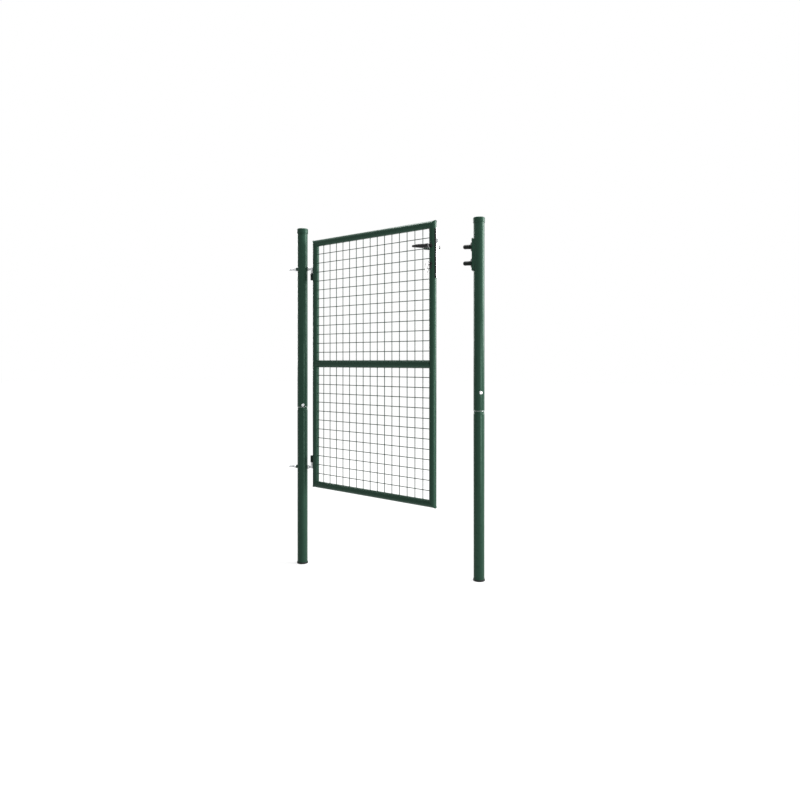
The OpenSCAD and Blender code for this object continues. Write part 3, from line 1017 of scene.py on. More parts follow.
@dataclass(frozen=True)
class Box:
    """A node's box.

    Attributes:
        low: Its lowest corner.
        high: Its highest corner.
    """

    low: Vector
    high: Vector

    @property
    def middle(self) -> Vector:
        """The box's centre."""
        return (self.low + self.high) / 2

    @property
    def size(self) -> Vector:
        """The box's three sides."""
        return self.high - self.low


@dataclass
class Workshop:
    """Dresses finished meshes and hands them to the frame.

    Attributes:
        nodes: The CAD nodes' objects, by name.
        pivot_x: Where the leaf's pintles stand.
        open_angle: How far the leaf is drawn open, in radians.
        finishes: The finishes' materials.
        thread_depth: A thread's depth by its pitch.
        chamfer: The chamfer at a threaded rod's ends, by the pitch.
        ripple: Distance between a weld's ripples, by its radius.
    """

    nodes: dict[str, bpy.types.Object]
    pivot_x: float
    open_angle: float
    finishes: dict[Slot, bpy.types.Material] = field(default_factory=dict)
    thread_depth: float = 0.61
    chamfer: float = 0.8
    ripple: float = 1.5

    def __post_init__(self) -> None:
        """Builds the finishes and the node trees."""
        self.finishes = {finish.slot: finish.material() for finish in FINISHES}
        self.leaf = Matrix.Translation((self.pivot_x, 0, 0)) @ Matrix.Rotation(
            -self.open_angle, 4, "Z")
        self.rods, self.beads, self.panels = ThreadedRod(), WeldBead(), WeldedPanel()

    def box(self, node: str, on_leaf: bool = False) -> Box:
        """Measures a CAD node.

        Args:
            node: Its name.
            on_leaf: Measures in the leaf's own frame.

        Returns:
            Its box.
        """
        if not on_leaf:
            return Box(*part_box(node))
        back = self.leaf.inverted()
        points = [back @ vertex.co for vertex in self.nodes[node].data.vertices]
        return Box(Vector(map(min, *points)), Vector(map(max, *points)))

    def add(self, name: str, shell: Shell, body: Body, slot: Slot,
            crease: float = CREASE) -> bpy.types.Object:
        """Makes a finished piece of a shell.

        Args:
            name: The piece's name.
            shell: Its shape, in the leaf's frame unless it rides on the posts.
            body: The body it rides on.
            slot: Its finish.
            crease: Angle in degrees past which its edges are shaded sharp.

        Returns:
            The piece.
        """
        place = Matrix.Identity(4) if body is Body.POSTS else self.leaf
        mesh = shell.mesh(name, place, crease)
        mesh.materials.clear()
        mesh.materials.append(self.finishes[slot])
        piece = shown(name, mesh)
        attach(piece, body.value)
        log.info("%s: %d faces on %s", name, len(mesh.polygons), body.value)
        return piece

    def replace(self, node: str, shell: Shell, body: Body, slot: Slot,
                crease: float = CREASE) -> None:
        """Makes a piece, as add does, that stands for a CAD node."""
        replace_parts(self.add(f"{node}_piece", shell, body, slot, crease), node)

    def keep(self, node: str, slot: Slot) -> None:
        """Shows a CAD node as it is, in one of the finishes."""
        for holder in self.nodes[node].material_slots:
            holder.material = self.finishes[slot]
        log.info("%s: CAD node kept", node)

    def thread(self, shell: Shell, radius: float, length: float, pitch: float,
               place: Matrix) -> None:
        """Adds a threaded rod to a shell.

        Args:
            shell: The shell.
            radius: The thread's outer radius.
            length: The rod's length, from 0 up the shape's Z axis.
            pitch: The thread's pitch.
            place: Turns and moves it.
        """
        values = {
            "Length": length, "Radius": radius, "Pitch": pitch,
            "Depth": pitch * self.thread_depth, "Chamfer": pitch * self.chamfer,
        }
        mesh = self.rods.grow(self.finishes[Slot.ZINC], values)
        mesh.transform(place @ Matrix.Translation((0, 0, length / 2)))
        shell.swallow(mesh)

    def weld(self, shell: Shell, paths: Sequence[Ring], radius: float, closed: bool) -> None:
        """Adds a weld along each path to a shell.

        Args:
            shell: The shell.
            paths: The welds' middle lines.
            radius: Radius of the weld.
            closed: Joins each path's end to its start.
        """
        base, points, edges = bpy.data.meshes.new("path"), [], []
        for path in paths:
            first = len(points)
            points += path
            edges += [(first + i, first + i + 1) for i in range(len(path) - 1)]
            if closed:
                edges.append((first + len(path) - 1, first))
        base.from_pydata(points, edges, [])
        values = {"Radius": radius, "Ripple": radius * self.ripple}
        shell.swallow(self.beads.grow(self.finishes[Slot.GREEN], values, base))
        bpy.data.meshes.remove(base)


# ---- sub-assemblies ----


@dataclass
class Post:
    """One post: a tube slid into another, with a cap, a foot and a joint bolt.

    Attributes:
        side: "hinge" or "latch".
        wall: Wall of the tubes.
        fit: Gap between the lower tube's top and the upper tube.
        neck: Height of the narrowed length below the joint.
        inset: How far the neck is narrowed.
        taper: Height of the neck's shoulders.
        highlight_band: Height of the zinc band at the foot of the upper tube, a painted highlight
            for the light that the tube's lower rim catches.
        crown: Height of the cap's crown.
        floor: Thickness of the foot's floor.
        bolt_azimuth: Direction that the joint bolt faces, in degrees.
        bolt_head: Radius of its head.
        bolt_height: Height of its head.
        bolt_shank: Radius of its shank.
        bolt_inside: How far the shank reaches into the post.
    """

    side: str
    wall: float = 2 * MM
    fit: float = 0.3 * MM
    neck: float = 17 * MM
    inset: float = 1.4 * MM
    taper: float = 4 * MM
    highlight_band: float = 1.1 * MM
    crown: float = 0.6 * MM
    floor: float = 3 * MM
    bolt_azimuth: float = -60.0
    bolt_head: float = 8.5 * MM
    bolt_height: float = 6 * MM
    bolt_shank: float = 4 * MM
    bolt_inside: float = 22 * MM

    def build(self, shop: Workshop) -> None:
        """Makes the post's six pieces.

        Args:
            shop: The workshop.
        """
        name = f"{self.side}_post"
        upper = shop.box(f"{name}_upper")
        self.radius, self.joint = upper.size.x / 2, upper.low.z
        self.stand = Along.Z.at(upper.middle.x, 0, 0)
        for part, make, slot in (
            ("lower", self.lower_tube, Slot.GREEN), ("upper", self.upper_tube, Slot.GREEN),
            ("cap", self.cap, Slot.GREEN), ("foot", self.foot, Slot.PLASTIC),
            ("bolt", self.joint_bolt, Slot.ZINC),
        ):
            node = f"{name}_{part}"
            shop.replace(node, make(shop.box(node)), Body.POSTS, slot)
        # The upper tube's foot is a thin zinc ring: a painted highlight for the light that its
        # lower rim catches.
        highlight_ring = self.ring(self.joint, self.joint + self.highlight_band)
        shop.add(f"{name}_sawn_end", highlight_ring, Body.POSTS, Slot.ZINC)

    def turned(self, profile: Outline, fillets: float | Sequence[float],
               steps: int = 4) -> Shell:
        """Returns a filleted profile turned round the post's axis."""
        return Shell().lathe(filleted(profile, fillets, steps), self.stand, POST_POINTS)

    def lower_tube(self, box: Box) -> Shell:
        """Makes the lower tube, narrowed where the upper one slides on.

        Args:
            box: The CAD tube's box.

        Returns:
            The tube.
        """
        r, bore = self.radius, self.radius - self.wall
        neck, spigot = r - self.inset, bore - self.fit
        shoulder, joint = self.joint - self.neck, self.joint - self.fit
        outer = [
            (r, box.low.z), (r, shoulder), (neck, shoulder + self.taper),
            (neck, joint - self.taper), (spigot, joint), (spigot, box.high.z),
        ]
        inner = [
            (spigot - self.wall, box.high.z), (spigot - self.wall, joint - self.taper),
            (bore - self.inset, shoulder + self.taper), (bore, shoulder), (bore, box.low.z),
        ]
        fillets = [0, 2 * MM, 2 * MM, 2 * MM, 0, 0.5 * MM] + [0] * len(inner)
        return self.turned(outer + inner, fillets)

    def upper_tube(self, box: Box) -> Shell:
        """Returns the upper tube, down to the zinc band of painted highlight at its foot."""
        return self.ring(box.low.z + self.highlight_band, box.high.z)

    def ring(self, low: float, high: float) -> Shell:
        """Returns the upper tube's wall from one height to another."""
        return self.turned(
            rectangle(self.radius - self.wall, low, self.radius, high), 0.4 * MM, steps=3)

    def cap(self, box: Box) -> Shell:
        """Makes the cap, slightly crowned.

        Args:
            box: The CAD cap's box.

        Returns:
            The cap.
        """
        r, top, bore = box.size.x / 2, box.high.z, self.radius + self.fit
        inside = top - self.wall - self.crown
        profile = [
            (0, top), (r * 0.6, top - self.crown * 0.4), (r, top - self.crown * 1.5),
            (r, box.low.z), (bore, box.low.z), (bore, inside), (0, inside),
        ]
        return self.turned(profile, [0, 0, 5 * MM, 0.7 * MM, 0.5 * MM, 0, 0], steps=7)

    def foot(self, box: Box) -> Shell:
        """Makes the foot, a shallow cup round the tube's end.

        Args:
            box: The CAD foot's box.

        Returns:
            The foot.
        """
        r, rim, bore = box.size.x / 2, box.high.z, self.radius + self.fit
        profile = [
            (0, 0), (r, 0), (r, rim), (bore, rim), (bore, self.floor), (0, self.floor)]
        return self.turned(profile, [0, 1.2 * MM, 1 * MM, 0.5 * MM, 0, 0])

    def joint_bolt(self, box: Box) -> Shell:
        """Makes the bolt that locks the two tubes.

        Args:
            box: The CAD bolt's box.

        Returns:
            The bolt.
        """
        turn = Matrix.Rotation(math.radians(self.bolt_azimuth), 4, "Z")
        height = Matrix.Translation((0, 0, box.middle.z))
        place = self.stand @ height @ turn @ Along.X.at(self.radius, 0, 0)
        shell = Shell().screw_head(
            self.bolt_head, self.bolt_height, Recess.HEXAGON, HEXAGON_KEY, place)
        inside = place @ Along.Z.at(0, 0, -self.bolt_inside)
        return shell.rod(self.bolt_shank, self.bolt_inside + MM, MM, inside)


@dataclass
class Hinge:
    """One adjustable hinge: pintle, nuts and saddles on the post, socket on the leaf.

    Attributes:
        level: Which of the two.
        rod: Radius of the threaded rod.
        pitch: The thread's pitch.
        root: Radius of the pintle's thick root.
        shoulder: Height of the root above the rod's axis.
        pin: Radius of its pin.
        collar: Radius of a saddle.
        saddle: Height of a saddle beyond the post.
        gap: Clearance round the rod and the pin.
        washer: Thickness of the washer.
        washer_radius: Its radius.
        nut: Height of the outer nut.
        lock_nut: Height of the inner nut.
        across: The nuts' width across flats.
        web: Half the thickness of the socket's web.
        gusset: How far the web reaches past the socket.
        bead: Radius of the pintle's weld.
        web_bead: Radius of the welds along the web.
    """

    level: Level
    rod: float = 6 * MM
    pitch: float = 1.75 * MM
    root: float = 8 * MM
    shoulder: float = 27.7 * MM
    pin: float = 6 * MM
    collar: float = 10 * MM
    saddle: float = 7 * MM
    gap: float = 0.3 * MM
    washer: float = 2.5 * MM
    washer_radius: float = 11 * MM
    nut: float = 10 * MM
    lock_nut: float = 7 * MM
    across: float = 19 * MM
    web: float = 6 * MM
    gusset: float = 15 * MM
    bead: float = 1.3 * MM
    web_bead: float = 1.8 * MM

    def build(self, shop: Workshop) -> None:
        """Makes the hinge's four pieces.

        Args:
            shop: The workshop.
        """
        name = self.level.name.lower()
        self.nuts_box = shop.box(f"{name}_hinge_nuts")
        self.rod_z = self.nuts_box.middle.z
        self.post = shop.box("hinge_post_upper").size.x / 2
        for part, shell, slot in (
            ("pintle", self.pintle(shop, shop.box(f"{name}_pintle")), Slot.ZINC),
            ("hinge_nuts", self.nuts(), Slot.ZINC),
            ("saddle", self.saddles(), Slot.GREEN),
        ):
            shop.replace(f"{name}_{part}", shell, Body.POSTS, slot)
        socket = self.socket(shop, shop.box(f"{name}_socket", on_leaf=True))
        shop.replace(f"{name}_socket", socket, Body.LEAF, Slot.BLACK)

    def pintle(self, shop: Workshop, box: Box) -> Shell:
        """Makes the threaded rod with the pin that stands at its end.

        Args:
            shop: The workshop.
            box: The CAD pintle's box.

        Returns:
            The pintle.
        """
        shell, end = Shell(), shop.pivot_x - self.root + 2 * MM
        for start, stop in ((box.low.x, -self.post), (self.post, end)):
            place = Along.X.at(start, 0, self.rod_z)
            shop.thread(shell, self.rod, stop - start, self.pitch, place)
        core = self.rod * 0.8
        shell.rod(core, 2 * self.post + 2 * MM, 0.5 * MM,
                  Along.X.at(-self.post - MM, 0, self.rod_z))
        turn = Matrix.Rotation(math.pi if self.level is Level.UPPER else 0, 4, "X")
        place = Matrix.Translation((shop.pivot_x, 0, self.rod_z)) @ turn
        below = self.root - MM
        tip = box.size.z - below
        profile = [
            (0, -below), (self.root, -below), (self.root, self.shoulder),
            (self.pin, self.shoulder), (self.pin, tip), (0, tip),
        ]
        fillets = [0, 1.5 * MM, 0.8 * MM, 0, 2 * MM, 0]
        shell.lathe(filleted(profile, fillets), place, PIN_POINTS)
        ring = [
            Vector((
                shop.pivot_x - half_chord(self.root, self.rod * math.cos(t)),
                self.rod * math.cos(t), self.rod_z + self.rod * math.sin(t),
            ))
            for t in turns(24)
        ]
        shop.weld(shell, [ring], self.bead, closed=True)
        return shell

    def nuts(self) -> Shell:
        """Makes the washer and nut outside the post and the thinner nut inside.

        Returns:
            All three.
        """
        low, high, bore = self.nuts_box.low.x, self.nuts_box.high.x, self.rod
        shell = Shell().nut(self.across, bore, self.nut, Along.X.at(low, 0, self.rod_z))
        shell.washer(
            self.washer_radius, bore, self.washer, Along.X.at(low + self.nut, 0, self.rod_z))
        inner = Along.X.at(high - self.lock_nut, 0, self.rod_z)
        return shell.nut(self.across, bore, self.lock_nut, inner)

    def saddles(self) -> Shell:
        """Makes the two collars, coped to the round post.

        Returns:
            Both collars.
        """
        outer, bore, far = self.collar, self.rod + self.gap, self.post + self.saddle

        def ring(radius: float, x: float | None = None) -> Ring:
            """Draws a ring round the rod.

            Args:
                radius: Its radius.
                x: Where it lies, or None for the post's surface.

            Returns:
                The ring's points.
            """
            return [
                Vector((
                    x or half_chord(self.post, radius * math.sin(t)),
                    radius * math.sin(t), radius * math.cos(t),
                ))
                for t in turns(56)
            ]

        edge = 0.8 * MM
        rings = [
            ring(outer), ring(outer, far - edge), ring(outer - edge * 0.3, far - edge * 0.3),
            ring(outer - edge, far), ring(bore, far), ring(bore),
        ]
        shell = Shell()
        for angle in (0, math.pi):
            place = Matrix.Translation((0, 0, self.rod_z)) @ Matrix.Rotation(angle, 4, "Z")
            shell.skin(rings, place, closed=True)
        return shell

    def socket(self, shop: Workshop, box: Box) -> Shell:
        """Makes the bush with its web and the gusset towards the rod.

        Args:
            shop: The workshop.
            box: The CAD socket's box.

        Returns:
            The socket.
        """
        stile = shop.box("hinge_stile", on_leaf=True)
        stile_x, stile_r = stile.middle.x, stile.size.x / 2
        radius, half, middle = box.size.y / 2, box.size.z / 2, box.middle.z
        profile = rectangle(self.pin + self.gap, -half, radius, half)
        shell = Shell().lathe(filleted(profile, 0.8 * MM), Along.Z.at(0, 0, middle))
        up, top = self.level.value, half + self.gusset
        edge, low, high = stile_x - stile_r, -half + MM, half - MM
        inside, back, nose = edge + 5 * MM, 7 * MM, 10.5 * MM
        outline = [
            (back, low), (inside, low), (inside, top), (edge + 0.5 * MM, top),
            (nose, high), (back, high),
        ]
        outline = filleted([(x, z * up) for x, z in outline], [0, 0, 0, 1 * MM, 3 * MM, 0])
        place = Along.MINUS_Y.at(0, 0, middle)
        shell.plate([outline], 2 * self.web, bevel=1.2 * MM, place=place)
        seam = stile_x - half_chord(stile_r, self.web)
        paths = [
            [Vector((seam, y, middle + up * half * share)) for share in (-0.95, 0, 1.3)]
            for y in (-self.web - 0.4 * MM, self.web + 0.4 * MM)
        ]
        shop.weld(shell, paths, self.web_bead, closed=False)
        return shell


@dataclass
class LeafTubes:
    """The leaf's frame: mitred stiles and rails, and a coped middle rail.

    Attributes:
        wall: Wall of the tubes.
        ear: Share of a stile's radius where the middle rail's ears end.
        bead: Radius of the welds at the mitres.
        heavy: Radius of the middle rail's welds by that.
    """

    wall: float = 2 * MM
    ear: float = 0.6
    bead: float = 1.5 * MM
    heavy: float = 1.3

    def build(self, shop: Workshop) -> None:
        """Makes the five tubes with their welds.

        Args:
            shop: The workshop.
        """
        self.left = shop.box("hinge_stile", on_leaf=True)
        self.right = shop.box("latch_stile", on_leaf=True)
        self.radius = self.left.size.x / 2
        for node, box, outward in (
            ("hinge_stile", self.left, -1), ("latch_stile", self.right, 1),
        ):
            shell = self.stile(box, outward)
            shop.weld(shell, self.mitres(box, outward), self.bead, closed=True)
            shop.replace(node, shell, Body.LEAF, Slot.GREEN)
        for node, outward in (("top_rail", 1), ("bottom_rail", -1)):
            shell = self.rail(shop.box(node, on_leaf=True), outward)
            shop.replace(node, shell, Body.LEAF, Slot.GREEN)
        shell = self.middle_rail(shop, shop.box("middle_rail", on_leaf=True))
        shop.replace("middle_rail", shell, Body.LEAF, Slot.GREEN)

    def stile(self, box: Box, outward: int) -> Shell:
        """Makes a stile, mitred at both ends.

        Args:
            box: The CAD stile's box.
            outward: -1 or 1, where its outer edge faces along X.

        Returns:
            The stile.
        """
        r = self.radius
        return Shell().tube(
            r, self.wall, lambda x, y: box.low.z + r - outward * x,
            lambda x, y: box.high.z - r + outward * x, Along.Z.at(box.middle.x, 0, 0))

    def rail(self, box: Box, outward: int) -> Shell:
        """Makes a rail, mitred at both ends.

        Args:
            box: The CAD rail's box.
            outward: -1 or 1, where its outer edge faces along Z.

        Returns:
            The rail.
        """
        r = self.radius
        return Shell().tube(
            r, self.wall, lambda x, y: box.low.x + r + outward * x,
            lambda x, y: box.high.x - r - outward * x, Along.X.at(0, 0, box.middle.z))

    def mitres(self, box: Box, outward: int) -> list[Ring]:
        """Draws the welds at a stile's two mitres.

        Args:
            box: The CAD stile's box.
            outward: -1 or 1, where its outer edge faces along X.

        Returns:
            The welds' middle lines.
        """
        r = self.radius
        return [
            [
                Vector((box.middle.x + r * math.cos(t), r * math.sin(t),
                        corner + up * (outward * r * math.cos(t) - r)))
                for t in turns(48)
            ]
            for corner, up in ((box.low.z, -1), (box.high.z, 1))
        ]

    def middle_rail(self, shop: Workshop, box: Box) -> Shell:
        """Makes the middle rail with the welds round its ends.

        Args:
            shop: The workshop.
            box: The CAD rail's box.

        Returns:
            The rail.
        """
        radius, z, widest = box.size.z / 2, box.middle.z, self.radius * 0.97
        left, right = self.left.middle.x, self.right.middle.x

        def cope(y: float) -> float:
            """Returns how far from a stile's axis the rail ends, y off its middle."""
            return max(self.ear * self.radius, half_chord(self.radius, y))

        shell = Shell().tube(
            radius, self.wall, lambda x, y: left + cope(y), lambda x, y: right - cope(y),
            Along.X.at(0, 0, z))
        paths = [
            [
                Vector((stile + side * cope(radius * math.cos(t)),
                        min(radius, widest) * math.cos(t), z + radius * math.sin(t)))
                for t in turns(60)
            ]
            for stile, side in ((left, 1), (right, -1))
        ]
        shop.weld(shell, paths, self.bead * self.heavy, closed=True)
        return shell


@dataclass
class MeshPanels:
    """The two panels of welded wire.

    Attributes:
        pitch: Distance between neighbouring wires.
        wire: Radius of a wire.
        margin: Least distance from the outermost wires to the tubes.
        layer: Each wire layer's distance from the leaf's middle plane.
        bite: How far a wire's end reaches into the tube's weld.
        nugget: Radius of a weld nugget by the wire's.
        crease: Angle in degrees past which the wires' edges are shaded sharp.
    """

    pitch: float = 50 * MM
    wire: float = 2 * MM
    margin: float = 30 * MM
    layer: float = 1.6 * MM
    bite: float = 0.8 * MM
    nugget: float = 1.3
    crease: float = 60.0

    def build(self, shop: Workshop) -> None:
        """Makes both panels.

        Args:
            shop: The workshop.
        """
        for seed, node in enumerate(("upper_mesh", "lower_mesh"), start=3):
            box = shop.box(node, on_leaf=True)
            values = {
                "Wires Across": self.count(box.size.x), "Wires Up": self.count(box.size.z),
                "Pitch": self.pitch, "Wire Radius": self.wire,
                "Width": box.size.x + 2 * self.bite, "Height": box.size.z + 2 * self.bite,
                "Layer": self.layer, "Nugget Radius": self.wire * self.nugget, "Seed": seed,
            }
            mesh = shop.panels.grow(shop.finishes[Slot.GREEN], values)
            mesh.transform(Matrix.Translation(box.middle))
            shop.replace(node, Shell().swallow(mesh), Body.LEAF, Slot.GREEN, self.crease)

    def count(self, opening: float) -> int:
        """Returns how many wires fit an opening."""
        return math.floor((opening - 2 * self.margin) / self.pitch + TINY) + 1


@dataclass
class Lever:
    """A lever handle: a neck out of the rose, and a grip that is straight above.

    Attributes:
        neck: Radius of the neck.
        root: Radius of the grip's round end at the spindle.
        edge: Radius of that end's edges.
        keys: The grip's section from its root to its tip, as (share of the length, half
            the height, half the depth, height of its middle above the spindle's axis).
        squareness: 2 for an oval section, more for a squarer one.
        spans: How many spans the root, the grip and the tip are made of.
        points: Points round the grip.
        crease: Angle in degrees past which its edges are shaded sharp.
    """

    neck: float = 6.4 * MM
    root: float = 7.5 * MM
    edge: float = 2.6 * MM
    keys: tuple[tuple[float, float, float, float], ...] = (
        (0.00, 9.0 * MM, 6.9 * MM, -2.4 * MM), (0.16, 9.6 * MM, 7.0 * MM, -3.3 * MM),
        (0.36, 10.0 * MM, 7.0 * MM, -2.4 * MM), (0.58, 9.0 * MM, 6.7 * MM, -0.4 * MM),
        (0.80, 7.3 * MM, 6.1 * MM, 1.4 * MM), (1.00, 5.5 * MM, 5.2 * MM, 2.3 * MM),
    )
    squareness: float = 2.6
    spans: tuple[int, int, int] = (9, 36, 7)
    points: int = 36
    crease: float = 50.0

    def shell(self, box: Box, axis_x: float, axis_z: float, start_y: float,
              side: Side) -> Shell:
        """Makes the neck and sweeps the grip.

        Args:
            box: The CAD lever's box in the leaf's frame.
            axis_x: Where the spindle stands.
            axis_z: The spindle's height.
            start_y: Where the neck leaves the rose, from the leaf's middle plane.
            side: The face of the leaf that it is on.

        Returns:
            The lever.
        """
        reach = max(abs(box.low.y), abs(box.high.y)) - self.keys[0][2] - 0.1 * MM
        tip = self.keys[-1][1]
        length = axis_x - box.low.x - tip
        first, grip, last = self.spans
        stations = [(-self.root * math.cos(t), math.sin(t))
                    for t in (math.pi / 2 * k / first for k in range(1, first))]
        stations += [(length * k / grip, 1.0) for k in range(grip + 1)]
        stations += [(length + tip * math.sin(t), math.cos(t))
                     for t in (math.pi / 2 * k / last for k in range(1, last))]
        rings = [[Vector((axis_x + self.root, side.value * reach, axis_z))]]
        for along, swell in stations:
            high, deep, lift = self.section(min(1.0, max(0.0, along / length)))
            into = self.root + along
            if into < self.edge:
                deep -= self.edge - half_chord(self.edge, self.edge - into)
            elif along > length:
                deep *= swell
            middle = Vector((axis_x - along, side.value * reach, axis_z + lift))
            rings.append(self.ring(middle, high * swell, deep))
        rings.append([middle - Vector((tip * 0.03, 0, 0))])
        place = (Along.Y if side is Side.BACK else Along.MINUS_Y).at(
            axis_x, side.value * start_y, axis_z)
        far = reach - start_y
        profile = [
            (0, 0), (self.neck - 0.4 * MM, 0), (self.neck, 0.4 * MM), (self.neck, far - 9 * MM),
            (self.neck + 0.6 * MM, far - 7 * MM), (self.neck + 0.8 * MM, far), (0, far),
        ]
        return Shell().skin(rings).lathe(profile, place, PIN_POINTS)

    def section(self, share: float) -> tuple[float, float, float]:
        """Returns half the height, half the depth and the lift at a share of the length."""
        return tuple(
            between([(key[0], key[n]) for key in self.keys], share) for n in (1, 2, 3))

    def ring(self, middle: Vector, high: float, deep: float) -> Ring:
        """Draws one section of the grip.

        Args:
            middle: Its centre.
            high: Half its height.
            deep: Half its depth.

        Returns:
            The section's points.
        """
        power, points = 2 / self.squareness, []
        for t in turns(self.points):
            c, s = math.cos(t), math.sin(t)
            points.append(middle + Vector((
                0, deep * math.copysign(abs(c) ** power, c),
                high * math.copysign(abs(s) ** power, s))))
        return points


@dataclass
class Lock:
    """The lock in the latch stile, with its levers and keys.

    Attributes:
        plate_round: Corner radius of the face plate.
        gap: Clearance round the latch bolt.
        cross: From the middle of a plate screw's cross to the end of an arm.
        bolt_lip: Blunt part of the latch bolt's nose.
        bolt_slant: Length of the nose's slant.
        cylinder: Radius of the lock cylinder.
        lug: Width of the cylinder's lug.
        plug: Radius of the plug in it.
        proud: How far the plug stands proud.
        slot: Half the width and half the height of its keyway.
        key: Thickness of a key.
        bow: Radius of a key's bow.
        hole: Radius of the bow's hole.
        hole_inset: Distance from the bow's middle to its hole.
        shank: Width of a key's blade.
        rib: How much thicker the key is along its middle.
        cut: Depth of the deepest cut in the blade.
        cuts: The cuts' depths by that, from the bow on.
        ring_wire: Radius of the key ring's wire.
        ring_rounds: How often it is wound round.
        rose_bore: Radius of a rose's bore.
        rose_step: Height of the step in a rose's rim.
    """

    plate_round: float = 2.5 * MM
    gap: float = 0.4 * MM
    cross: float = 2.6 * MM
    bolt_lip: float = 2 * MM
    bolt_slant: float = 7 * MM
    cylinder: float = 8.5 * MM
    lug: float = 10 * MM
    plug: float = 6.4 * MM
    proud: float = 0.35 * MM
    slot: tuple[float, float] = (1.3 * MM, 4.3 * MM)
    key: float = 2.2 * MM
    bow: float = 12 * MM
    hole: float = 4 * MM
    hole_inset: float = 5 * MM
    shank: float = 8 * MM
    rib: float = 0.5 * MM
    cut: float = 2.6 * MM
    cuts: tuple[float, ...] = (0.5, 0.95, 0.3, 0.75, 0.45, 0.9)
    ring_wire: float = 0.5 * MM
    ring_rounds: float = 1.9
    rose_bore: float = 5 * MM
    rose_step: float = 0.7 * MM

    def build(self, shop: Workshop) -> None:
        """Makes the lock's pieces.

        Args:
            shop: The workshop.
        """
        boxes = {
            node: shop.box(node, on_leaf=True)
            for node in (
                "lock_case", "lock_face_plate", "face_plate_screws", "latch_bolt",
                "lock_cylinder", "spindle", "key", "key_ring", "spare_key", "latch_stile",
            )
        }
        self.axis_x = boxes["latch_stile"].middle.x
        self.tube = boxes["latch_stile"].size.x / 2
        plate, barrel = boxes["lock_face_plate"], boxes["lock_cylinder"]
        screws = self.screws(boxes["face_plate_screws"], plate)
        for node, shell, body, slot in (
            ("lock_case", self.case(boxes["lock_case"]), Body.LEAF, Slot.PLASTIC),
            ("lock_face_plate", self.face_plate(plate, boxes["latch_bolt"]), Body.LEAF, Slot.ZINC),
            ("face_plate_screws", screws, Body.LEAF, Slot.ZINC),
            ("latch_bolt", self.latch_bolt(boxes["latch_bolt"]), Body.BOLT, Slot.ZINC),
            ("lock_cylinder", self.cylinder_body(barrel), Body.LEAF, Slot.PLASTIC),
        ):
            shop.replace(node, shell, body, slot)
        shop.add("cylinder_plugs", self.plugs(barrel), Body.LEAF, Slot.NYLON)
        self.handles(shop, boxes["spindle"].middle.z)
        self.keys(shop, boxes)

    def case(self, box: Box) -> Shell:
        """Makes the lock's case.

        Args:
            box: The CAD case's box.

        Returns:
            The case.
        """
        half = box.size / 2
        outline = filleted(rectangle(-half.x, -half.y, half.x, half.y), 0.8 * MM)
        return Shell().plate(
            [outline], box.size.z, bevel=0.5 * MM, place=Along.Z.at(*box.middle))

    def face_plate(self, box: Box, bolt: Box) -> Shell:
        """Makes the face plate, with an opening for the latch bolt.

        Args:
            box: The CAD plate's box.
            bolt: The latch bolt's box.

        Returns:
            The plate.
        """
        half = box.size / 2
        outline = filleted(rectangle(-half.y, -half.z, half.y, half.z), self.plate_round)
        high, wide = bolt.middle.z - box.middle.z, bolt.size.y / 2 + self.gap
        tall = bolt.size.z / 2 + self.gap
        opening = filleted(rectangle(-wide, high - tall, wide, high + tall), 0.6 * MM)
        return Shell().plate(
            [outline, opening], box.size.x, bevel=0.4 * MM, place=facing_x(*box.middle))

    def screws(self, box: Box, plate: Box) -> Shell:
        """Makes the face plate's two screws.

        Args:
            box: The CAD screws' box.
            plate: The face plate's box.

        Returns:
            The screws.
        """
        shell, radius = Shell(), box.size.y / 2
        for z in (box.low.z + radius, box.high.z - radius):
            place = Along.X.at(plate.high.x, 0, z)
            shell.screw_head(radius, box.high.x - plate.high.x, Recess.CROSS, self.cross, place)
        return shell

    def latch_bolt(self, box: Box) -> Shell:
        """Makes the latch bolt with its slanted nose.

        Args:
            box: The CAD bolt's box.

        Returns:
            The bolt.
        """
        (x0, y0, _), (x1, y1, _) = box.low, box.high
        outline = [
            (x0, y0), (x1, y0), (x1, y0 + self.bolt_lip), (x1 - self.bolt_slant, y1), (x0, y1),
        ]
        outline = filleted(outline, [0, 0.8 * MM, 0.8 * MM, 1.5 * MM, 0])
        place = Along.Z.at(0, 0, box.middle.z)
        return Shell().plate([outline], box.size.z, bevel=0.5 * MM, place=place)

    def cylinder_body(self, box: Box) -> Shell:
        """Makes the cylinder's body: a round head over a narrower lug.

        Args:
            box: The CAD cylinder's box.

        Returns:
            The body.
        """
        top = box.high.z - self.cylinder
        half, foot = self.lug / 2, box.low.z - top + self.lug / 2
        meet = math.degrees(math.asin(half / self.cylinder))
        outline = arc(0, 0, self.cylinder, meet - 90, 270 - meet, steps=40)
        outline += arc(0, foot, half, 180, 360, steps=16)
        place = Along.MINUS_Y.at(self.axis_x, box.middle.y, top)
        return Shell().plate([outline], box.size.y, bevel=0.35 * MM, place=place)

    def plugs(self, box: Box) -> Shell:
        """Makes the plugs at both ends of the cylinder, with their keyways.

        Args:
            box: The CAD cylinder's box.

        Returns:
            The plugs.
        """
        points = PIN_POINTS
        disc = arc(0, 0, self.plug, 0, 360 - 360 / points, points - 1)
        x, y = self.slot
        keyway = [
            (-x, -y), (x, -y), (x, -y * 0.3), (x * 0.4, -y * 0.1), (x, y * 0.15),
            (x, y), (-x, y), (-x, y * 0.45), (-x * 0.3, y * 0.2), (-x, -y * 0.1),
        ]
        shell, thick = Shell(), 1.2 * MM
        for face, sign in ((box.low.y, -1), (box.high.y, 1)):
            place = Along.MINUS_Y.at(
                self.axis_x, face + sign * (self.proud - thick / 2), box.high.z - self.cylinder)
            shell.plate([disc, keyway], thick, bevel=0.15 * MM, place=place)
        return shell

